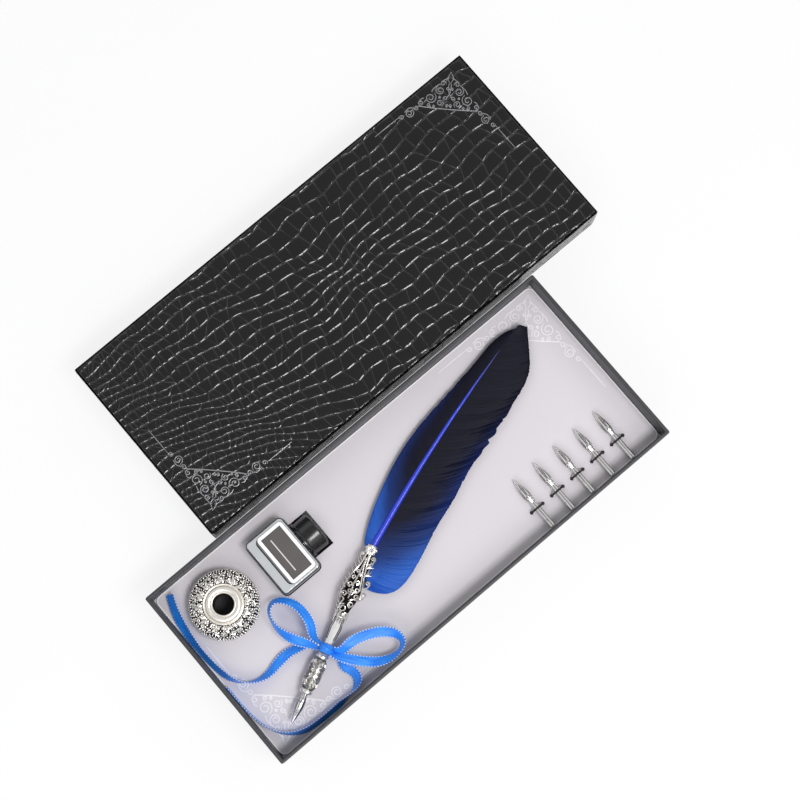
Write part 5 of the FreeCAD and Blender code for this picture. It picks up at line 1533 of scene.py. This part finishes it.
# %% Ferrule web
bulb = [(62.0, 3.2), (66.0, 3.5), (70.0, 4.2), (74.0, 5.3), (77.0, 5.9), (80.0, 5.8), (85.0, 5.3), (90.0, 4.5),
        (95.0, 3.6), (100.0, 3.0), (104.0, 2.8)]
core = [(66.0, 2.4), (67.0, 2.95), (70.0, 3.4), (74.0, 4.4), (77.0, 5.0), (80.0, 4.9), (85.0, 4.4), (90.0, 3.6),
        (95.0, 2.7), (100.0, 2.3), (104.0, 2.2)]


def bulb_wires(line, radius, lift=0.0):
    line = np.asarray(line, float)
    reach = np.interp(line[:, 0], *np.asarray(bulb).T) + lift
    side = np.clip(line[:, 1] / reach, -0.97, 0.97)
    both = []
    for over in (1, -1):
        away = np.column_stack([np.zeros(len(line)), side, over * np.sqrt(1 - side ** 2)])
        spots = on_pen(np.column_stack([line[:, 0], reach * away[:, 1], reach * away[:, 2]]))
        outward = away[:, 1:2] * pen_left + away[:, 2:3] * np.array((0.0, 0.0, 1.0))
        both.append(wire(spots, radius * mm, 6, False, outward))
    return both


# The core is painted fully dark (mask 1.0): painted shade inside the openwork.
web = [pen_lathe(core, 40, 1.0)]
# Dark wires on the neck's ridges are painted reflection: they stand for the dark reflections on its polished facets.
ridge = np.array([(50.5, 2.62), (57.2, 3.3), (64.0, 2.45)])
for turn in np.radians((0, 45, 135, 180, 225, 315)):
    line = np.column_stack([ridge[:, 0], ridge[:, 1] * math.cos(turn), ridge[:, 1] * math.sin(turn)])
    web.append(wire(on_pen(line), 0.22 * mm, 6, mask=1.0))
ribs = [
    [(103.0, 1.4), (97.0, 1.9), (92.0, 3.3), (86.0, 4.9), (80.5, 5.6), (76.7, 5.7), (75.2, 4.2), (74.2, 2.6),
     (71.5, 3.2), (68.5, 3.3)],
    [(103.0, -1.0), (97.0, -1.5), (90.4, -2.8), (84.0, -4.4), (77.0, -5.7), (76.2, -4.0), (75.8, -2.2), (74.6, -0.8)],
    [(102.0, -0.2), (96.0, -0.4), (91.0, -1.4), (86.0, -2.7), (81.5, -4.0)],
    [(75.4, 0.4), (79.0, 0.3), (84.0, 0.9), (89.0, 0.5), (95.0, 0.5), (99.5, 0.4)],
]
for line in ribs:
    web += bulb_wires(smooth_line(line, 60), 0.42, 0.1)
curls = [(69.5, 1.0, 2.2, 0, 1.6), (72.6, -2.5, 1.7, 180, -1.5), (66.6, -1.8, 1.3, 90, 1.4),
         (83.2, 2.6, 1.5, 200, -1.4), (85.4, -0.9, 1.3, 180, 1.4), (87.8, 2.3, 1.2, 200, -1.3),
         (81.2, -2.3, 1.4, 150, 1.4), (91.8, 1.5, 0.95, 200, -1.3), (90.4, -0.4, 0.8, 180, 1.3),
         (77.2, 3.5, 1.5, 120, -1.4), (77.6, -3.4, 1.4, 240, 1.4), (99.8, 1.2, 0.8, 0, 1.2)]
for along, side, size, start, turns in curls:
    web += bulb_wires(spiral((along, side), 1.1 * size, 0.45 * size, start, 0.85 * turns, 18), 0.38, 0.1)
ring = np.linspace(0, 2 * math.pi, 12)
for turn in np.arange(5) * 2 * math.pi / 5:
    middle = np.array((79.3 + 1.15 * math.cos(turn), 0.4 + 1.15 * math.sin(turn)))
    web += bulb_wires(middle + 0.7 * np.column_stack([np.cos(ring), np.sin(ring)]), 0.28, 0.3)
print("web of", len(web), "pieces")

# %% [markdown]
# A wax model for casting is built up wire by wire, and so is this one. Curling tendrils and leaves stand out
# mostly on one side and thorns on the other, eight leaves crown the neck, and a ring closes each end.

# %% Tendrils, leaves and thorns
for along, side, size in ((80.6, -6.8, 1.1), (87.3, -6.1, 1.4), (101.0, -3.3, 1.4), (101.6, 3.2, 1.0)):
    flip = math.copysign(1.0, side)
    stem = smooth_line([(along - 4.0, side - 1.3 * flip, 1.4), (along - 2.2, side + 0.5 * size * flip, 1.3),
                        (along, side + size * flip, 1.2)], 10)
    curl = spiral((along, side), size, 0.3, 90 * flip, -1.25 * flip, 20)
    for line in (stem, np.column_stack([curl, np.linspace(1.2, 0.8, 20)])):
        web.append(wire(on_pen(line + np.array((0.0, 0.0, 0.9))), 0.46 * mm, 6))
for along, side in ((97.0, -4.0), (92.6, -4.8)):
    for line in ([(-2.4, 2.0), (-0.6, 0.2), (2.0, -0.6)], [(-1.6, 1.4), (-1.0, -0.5), (-0.5, -1.7)],
                 [(-1.0, 1.2), (0.8, 0.9), (2.4, 1.0)]):
        leaf = np.column_stack([smooth_line(line, 8) + np.array((along, side)), np.linspace(2.2, 1.7, 8)])
        web.append(wire(on_pen(leaf), 0.58 * mm * np.linspace(1.0, 0.35, 8), 6))
for along in np.arange(66.0, 99.0, 3.1):
    reach = float(np.interp(along, *np.asarray(bulb).T))
    thorn = smooth_line([(along - 1.0, reach - 1.0, 2.0), (along + 0.3, reach + 0.3, 1.8),
                         (along + 1.9, reach + 1.7, 1.5)], 8)
    web.append(wire(on_pen(thorn), 0.60 * mm * np.linspace(1.0, 0.3, 8), 6))
for turn in np.radians(np.arange(22.5, 360.0, 45.0)):
    leaf = smooth_line([(67.6, 3.1), (65.2, 3.5), (62.6, 3.5), (60.4, 3.2)], 10)
    leaf = np.column_stack([leaf[:, 0], leaf[:, 1] * math.cos(turn), leaf[:, 1] * math.sin(turn)])
    web.append(wire(on_pen(leaf), 0.85 * mm * np.linspace(1.0, 0.25, 10), 6))
for along, radius in ((64.2, 3.0), (103.4, 2.9)):
    turns = np.linspace(0, 2 * math.pi, 40, endpoint=False)
    ring = np.column_stack([np.full(40, along), radius * np.cos(turns), radius * np.sin(turns)])
    web.append(wire(on_pen(ring), 0.5 * mm, 8, True, pen_ahead))
make_piece("ferrule_openwork", join_shapes(web), antique, "pen", "silver_metal", ["pen_ferrule"])

# %% [markdown]
# A small flower closes the ferrule. Its petals repeat round the middle, so one petal is modelled as a sheet
# with an upper side, an underside and a rim, and the ring tree turns it. A bead sits in the heart of the flower
# and smaller ones between the petals.

# %% Rosette flower
def sheet_faces(rows, columns, flip=False):
    count, last = rows * columns, columns - 1
    faces = grid_faces(rows, columns)
    faces += [tuple(index + count for index in face[::-1]) for face in faces]
    rim = list(range(columns)) + [columns * row + last for row in range(1, rows)]
    rim += [count - columns + i for i in range(last - 1, -1, -1)] + [columns * row for row in range(rows - 2, 0, -1)]
    faces += [(rim[i], rim[i - 1], rim[i - 1] + count, rim[i] + count) for i in range(len(rim))]
    return [face[::-1] for face in faces] if flip else faces


dress("pen_rosette", antique)
flower = np.array((105.2, 0.0, 3.3))
petal_rows = []
for share in np.linspace(0, 1, 9):
    width = 0.95 * math.sin(math.pi * (0.12 + 0.83 * share)) ** 0.8
    height = 0.35 + 0.35 * math.sin(math.pi * share) - 0.35 * share
    for side in np.linspace(-1, 1, 7):
        petal_rows.append((0.7 + 2.5 * share, side * width, height - 0.28 * side ** 2))
petal_top = np.array(petal_rows)
petal_under = petal_top - np.array((0.0, 0.0, 0.55))
petal = np.vstack([petal_top, petal_under])
petal_mask = np.concatenate([np.clip(0.55 - 0.4 * (petal_top[:, 0] - 0.7), 0, 1), np.ones(len(petal_under))])
petal_mesh = shape_mesh("rosette_petals", (on_pen(petal + flower), sheet_faces(9, 7), petal_mask), antique, None, 60.0)
face_outward(petal_mesh)
petals = grow("rosette_petals", petal_mesh, motif_ring, Count=8, Centre=tuple(on_pen(flower)), Axis=(0, 0, 1),
              Metal=antique)
set_piece(petals, "pen")
turns = np.arange(8) * math.pi / 4 + math.pi / 8
places = [on_pen(flower + np.array((0, 0, 0.55)))]
places += [on_pen(flower + np.array((2.7 * math.cos(t), 2.7 * math.sin(t), 0.1))) for t in turns]
set_piece(bead_points("rosette_beads", places, [0.00075] + [0.00042] * 8, antique), "pen")

# %% [markdown]
# The feather is dyed goose: almost black-navy, bright blue near the root, with a royal blue shaft. A vane is
# hundreds of barbs side by side. It could be hair, but hair isn't exported. So each vane is one pleated
# sheet: every barb is a ridge that runs from the shaft to the vane's edge, and the edge is a little ragged,
# with a few places where the barbs have parted.

# %% Feather vanes
def shaft_place(along):
    reach = np.clip(along - 108.0, 0.0, None)
    return -0.083 * reach - reach ** 2 / (2 * 1087.0)


def edge_line(marks, steps):
    dense = smooth_line(marks, 400)
    length = np.append(0.0, np.cumsum(np.hypot(*np.diff(dense, axis=0).T)))
    where = np.linspace(0, length[-1], steps)
    return np.column_stack([np.interp(where, length, dense[:, 0]), np.interp(where, length, dense[:, 1])])


def vane(marks, shaft_start, shaft_end, barbs, partings, bow, seed, crown, droop, lag):
    chance = np.random.default_rng(seed)
    rows, columns = 2 * barbs + 1, 15
    edge = edge_line(marks, rows)
    edge[:, 1] += shaft_place(edge[:, 0])
    share = np.linspace(0, 1, rows)
    root_x = shaft_start + (shaft_end - shaft_start) * share ** lag
    leading = marks[1][1] > 0
    flare = 0.0 if leading else np.interp(root_x, (86.0, 95.0, 104.0, 109.0), (-4.9, -3.2, -2.2, 0.0))
    root = np.column_stack([root_x, shaft_place(root_x) + flare])
    reach = 1 + chance.normal(0, 0.004, rows)
    reach += 0.020 * np.sin(share * 118 + 2.0 * np.sin(share * 31)) * np.exp(-((share - 0.66) / 0.13) ** 2)
    for place, depth, spread in partings:
        reach -= depth * np.exp(-((share - place) / spread) ** 2)
    ridge = np.where(np.arange(rows) % 2, 1.0, -1.0) * chance.uniform(0.5, 1.2, rows)
    clump = np.interp(share, np.linspace(0, 1, 44), chance.normal(0, 1, 44))
    across = np.linspace(0, 1, columns)
    points, uv = [], []
    for row in range(rows):
        span = (edge[row] - root[row]) * reach[row]
        lean = np.array((-span[1], span[0])) * bow * np.sign(marks[1][1])
        for t in across:
            spot = root[row] + span * t + lean * 4 * t * (1 - t) * 0.25
            height = crown + (0.09 * ridge[row] + 0.10 * clump[row]) * min(1.0, 4 * t) - droop * t ** 2
            points.append((spot[0], spot[1], height))
            uv.append((share[row], t))
    top = np.array(points)
    under = top - np.array((0.0, 0.0, 0.28))
    return (on_pen(np.vstack([top, under])), sheet_faces(rows, columns, leading), 0.0), uv + uv


print("vane helpers ready")

# %% [markdown]
# The dye follows the barbs. On each vane the UV map counts from root to tip in X and from the shaft to the
# edge in Y. A noise that is stretched along Y gives streaks, and it also makes the border between bright blue
# and black wander from barb to barb.

# %% Dye and vanes
def dyed_feather():
    material, tree, shader, _ = start_material("dyed_feather", tone(14, 16, 36), 0.55, 0.0, Specular_IOR_Level=0.14,
                                               Sheen_Weight=0.05, Sheen_Roughness=0.35, Sheen_Tint=tone(90, 120, 220))
    spot = add(tree, "ShaderNodeUVMap", uv_map="UVMap").outputs["UV"]
    parts = split(tree, spot)
    barb = mapped(tree, spot, Scale=(150.0, 1.6, 1.0))
    streak = texture(tree, "Noise", barb, Scale=1.0, Detail=3.0, Roughness=0.6)["Fac"]
    wander = math_node(tree, "MULTIPLY_ADD", streak, 0.16, -0.08)
    inner = math_node(tree, "MULTIPLY_ADD", parts["Y"], -0.12, 0.10)
    along = math_node(tree, "ADD", math_node(tree, "ADD", parts["X"], wander), inner)
    rim = math_node(tree, "MULTIPLY", math_node(tree, "POWER", parts["Y"], 4.0), ramp(tree, along, 0.80, 0.45))
    dark = mix_colours(tree, streak, tone(9, 9, 18), tone(23, 24, 40))
    dark = mix_colours(tree, rim, dark, tone(22, 42, 104))
    bright = mix_colours(tree, streak, tone(26, 66, 150), tone(58, 116, 216))
    middle = mix_colours(tree, streak, tone(18, 30, 76), tone(40, 70, 142))
    colour = mix_colours(tree, ramp(tree, along, 0.16, 0.32), bright, middle)
    colour = mix_colours(tree, ramp(tree, along, 0.24, 0.48), colour, dark)
    feed(shader, Base_Color=colour)
    add_bump(tree, shader, streak, 0.0002, 0.5)
    return material


feather = dyed_feather()
lead_marks = [(105.0, 3.4), (110.0, 6.2), (121.0, 9.2), (139.0, 12.2), (161.0, 14.0), (182.0, 13.2), (203.0, 10.3),
              (225.0, 7.7), (243.0, 6.3), (253.0, 2.6), (259.0, -3.6)]
trail_marks = [(84.5, -5.0), (84.6, -11.0), (86.6, -17.6), (91.0, -22.4), (98.0, -25.3), (109.0, -26.8),
               (122.0, -26.4), (135.0, -25.8), (151.0, -26.1), (170.0, -24.7), (188.0, -25.4), (207.0, -25.0),
               (218.0, -24.5), (230.0, -23.1), (239.0, -19.7), (249.0, -12.6), (259.5, -4.6)]
lead_partings = [(0.52, 0.02, 0.004), (0.70, 0.03, 0.004)]
trail_partings = [(0.30, 0.012, 0.005), (0.47, 0.015, 0.004), (0.62, 0.03, 0.004), (0.69, 0.03, 0.005),
                  (0.77, 0.02, 0.004)]
vanes = {
    "feather_vane_lead": vane(lead_marks, 103.5, 257.5, 260, lead_partings, 0.28, 31, 0.6, 2.4, 1.2),
    "feather_vane_trail": vane(trail_marks, 86.0, 257.5, 330, trail_partings, 0.32, 32, 0.6, 2.4, 1.5),
}
for node, (shape, uv) in vanes.items():
    make_piece(node.replace("feather_", "barbed_"), shape, feather, "pen", "feather", [node], uv=uv, sharp=80.0,
               weld=False)

# %% [markdown]
# The shaft keeps its CAD taper. Its dye fades from royal blue to navy towards the tip, which a gradient along
# the pen gives: the Object coordinates are turned by the pen's angle, and X then counts along the shaft.

# %% Shaft
def royal_shaft():
    material, tree, shader, place = start_material("royal_shaft", tone(44, 56, 214), 0.3, 0.0, Coat_Weight=0.2)
    parts = split(tree, mapped(tree, place, Rotation=(0.0, 0.0, -pen_turn)))
    tip = float(np.dot(pen_tip, pen_ahead))
    fade = ramp(tree, parts["X"], tip + 0.200, tip + 0.250)
    fibre = place_group(tree, paper_fibre, place, Scale=1100.0)
    blue = mix_colours(tree, fibre["Shade"], tone(30, 46, 178), tone(52, 74, 222))
    feed(shader, Base_Color=mix_colours(tree, fade, blue, tone(22, 26, 60)))
    add_bump(tree, shader, fibre["Height"], 0.00004, 0.4)
    return material


dress("feather_quill", royal_shaft())
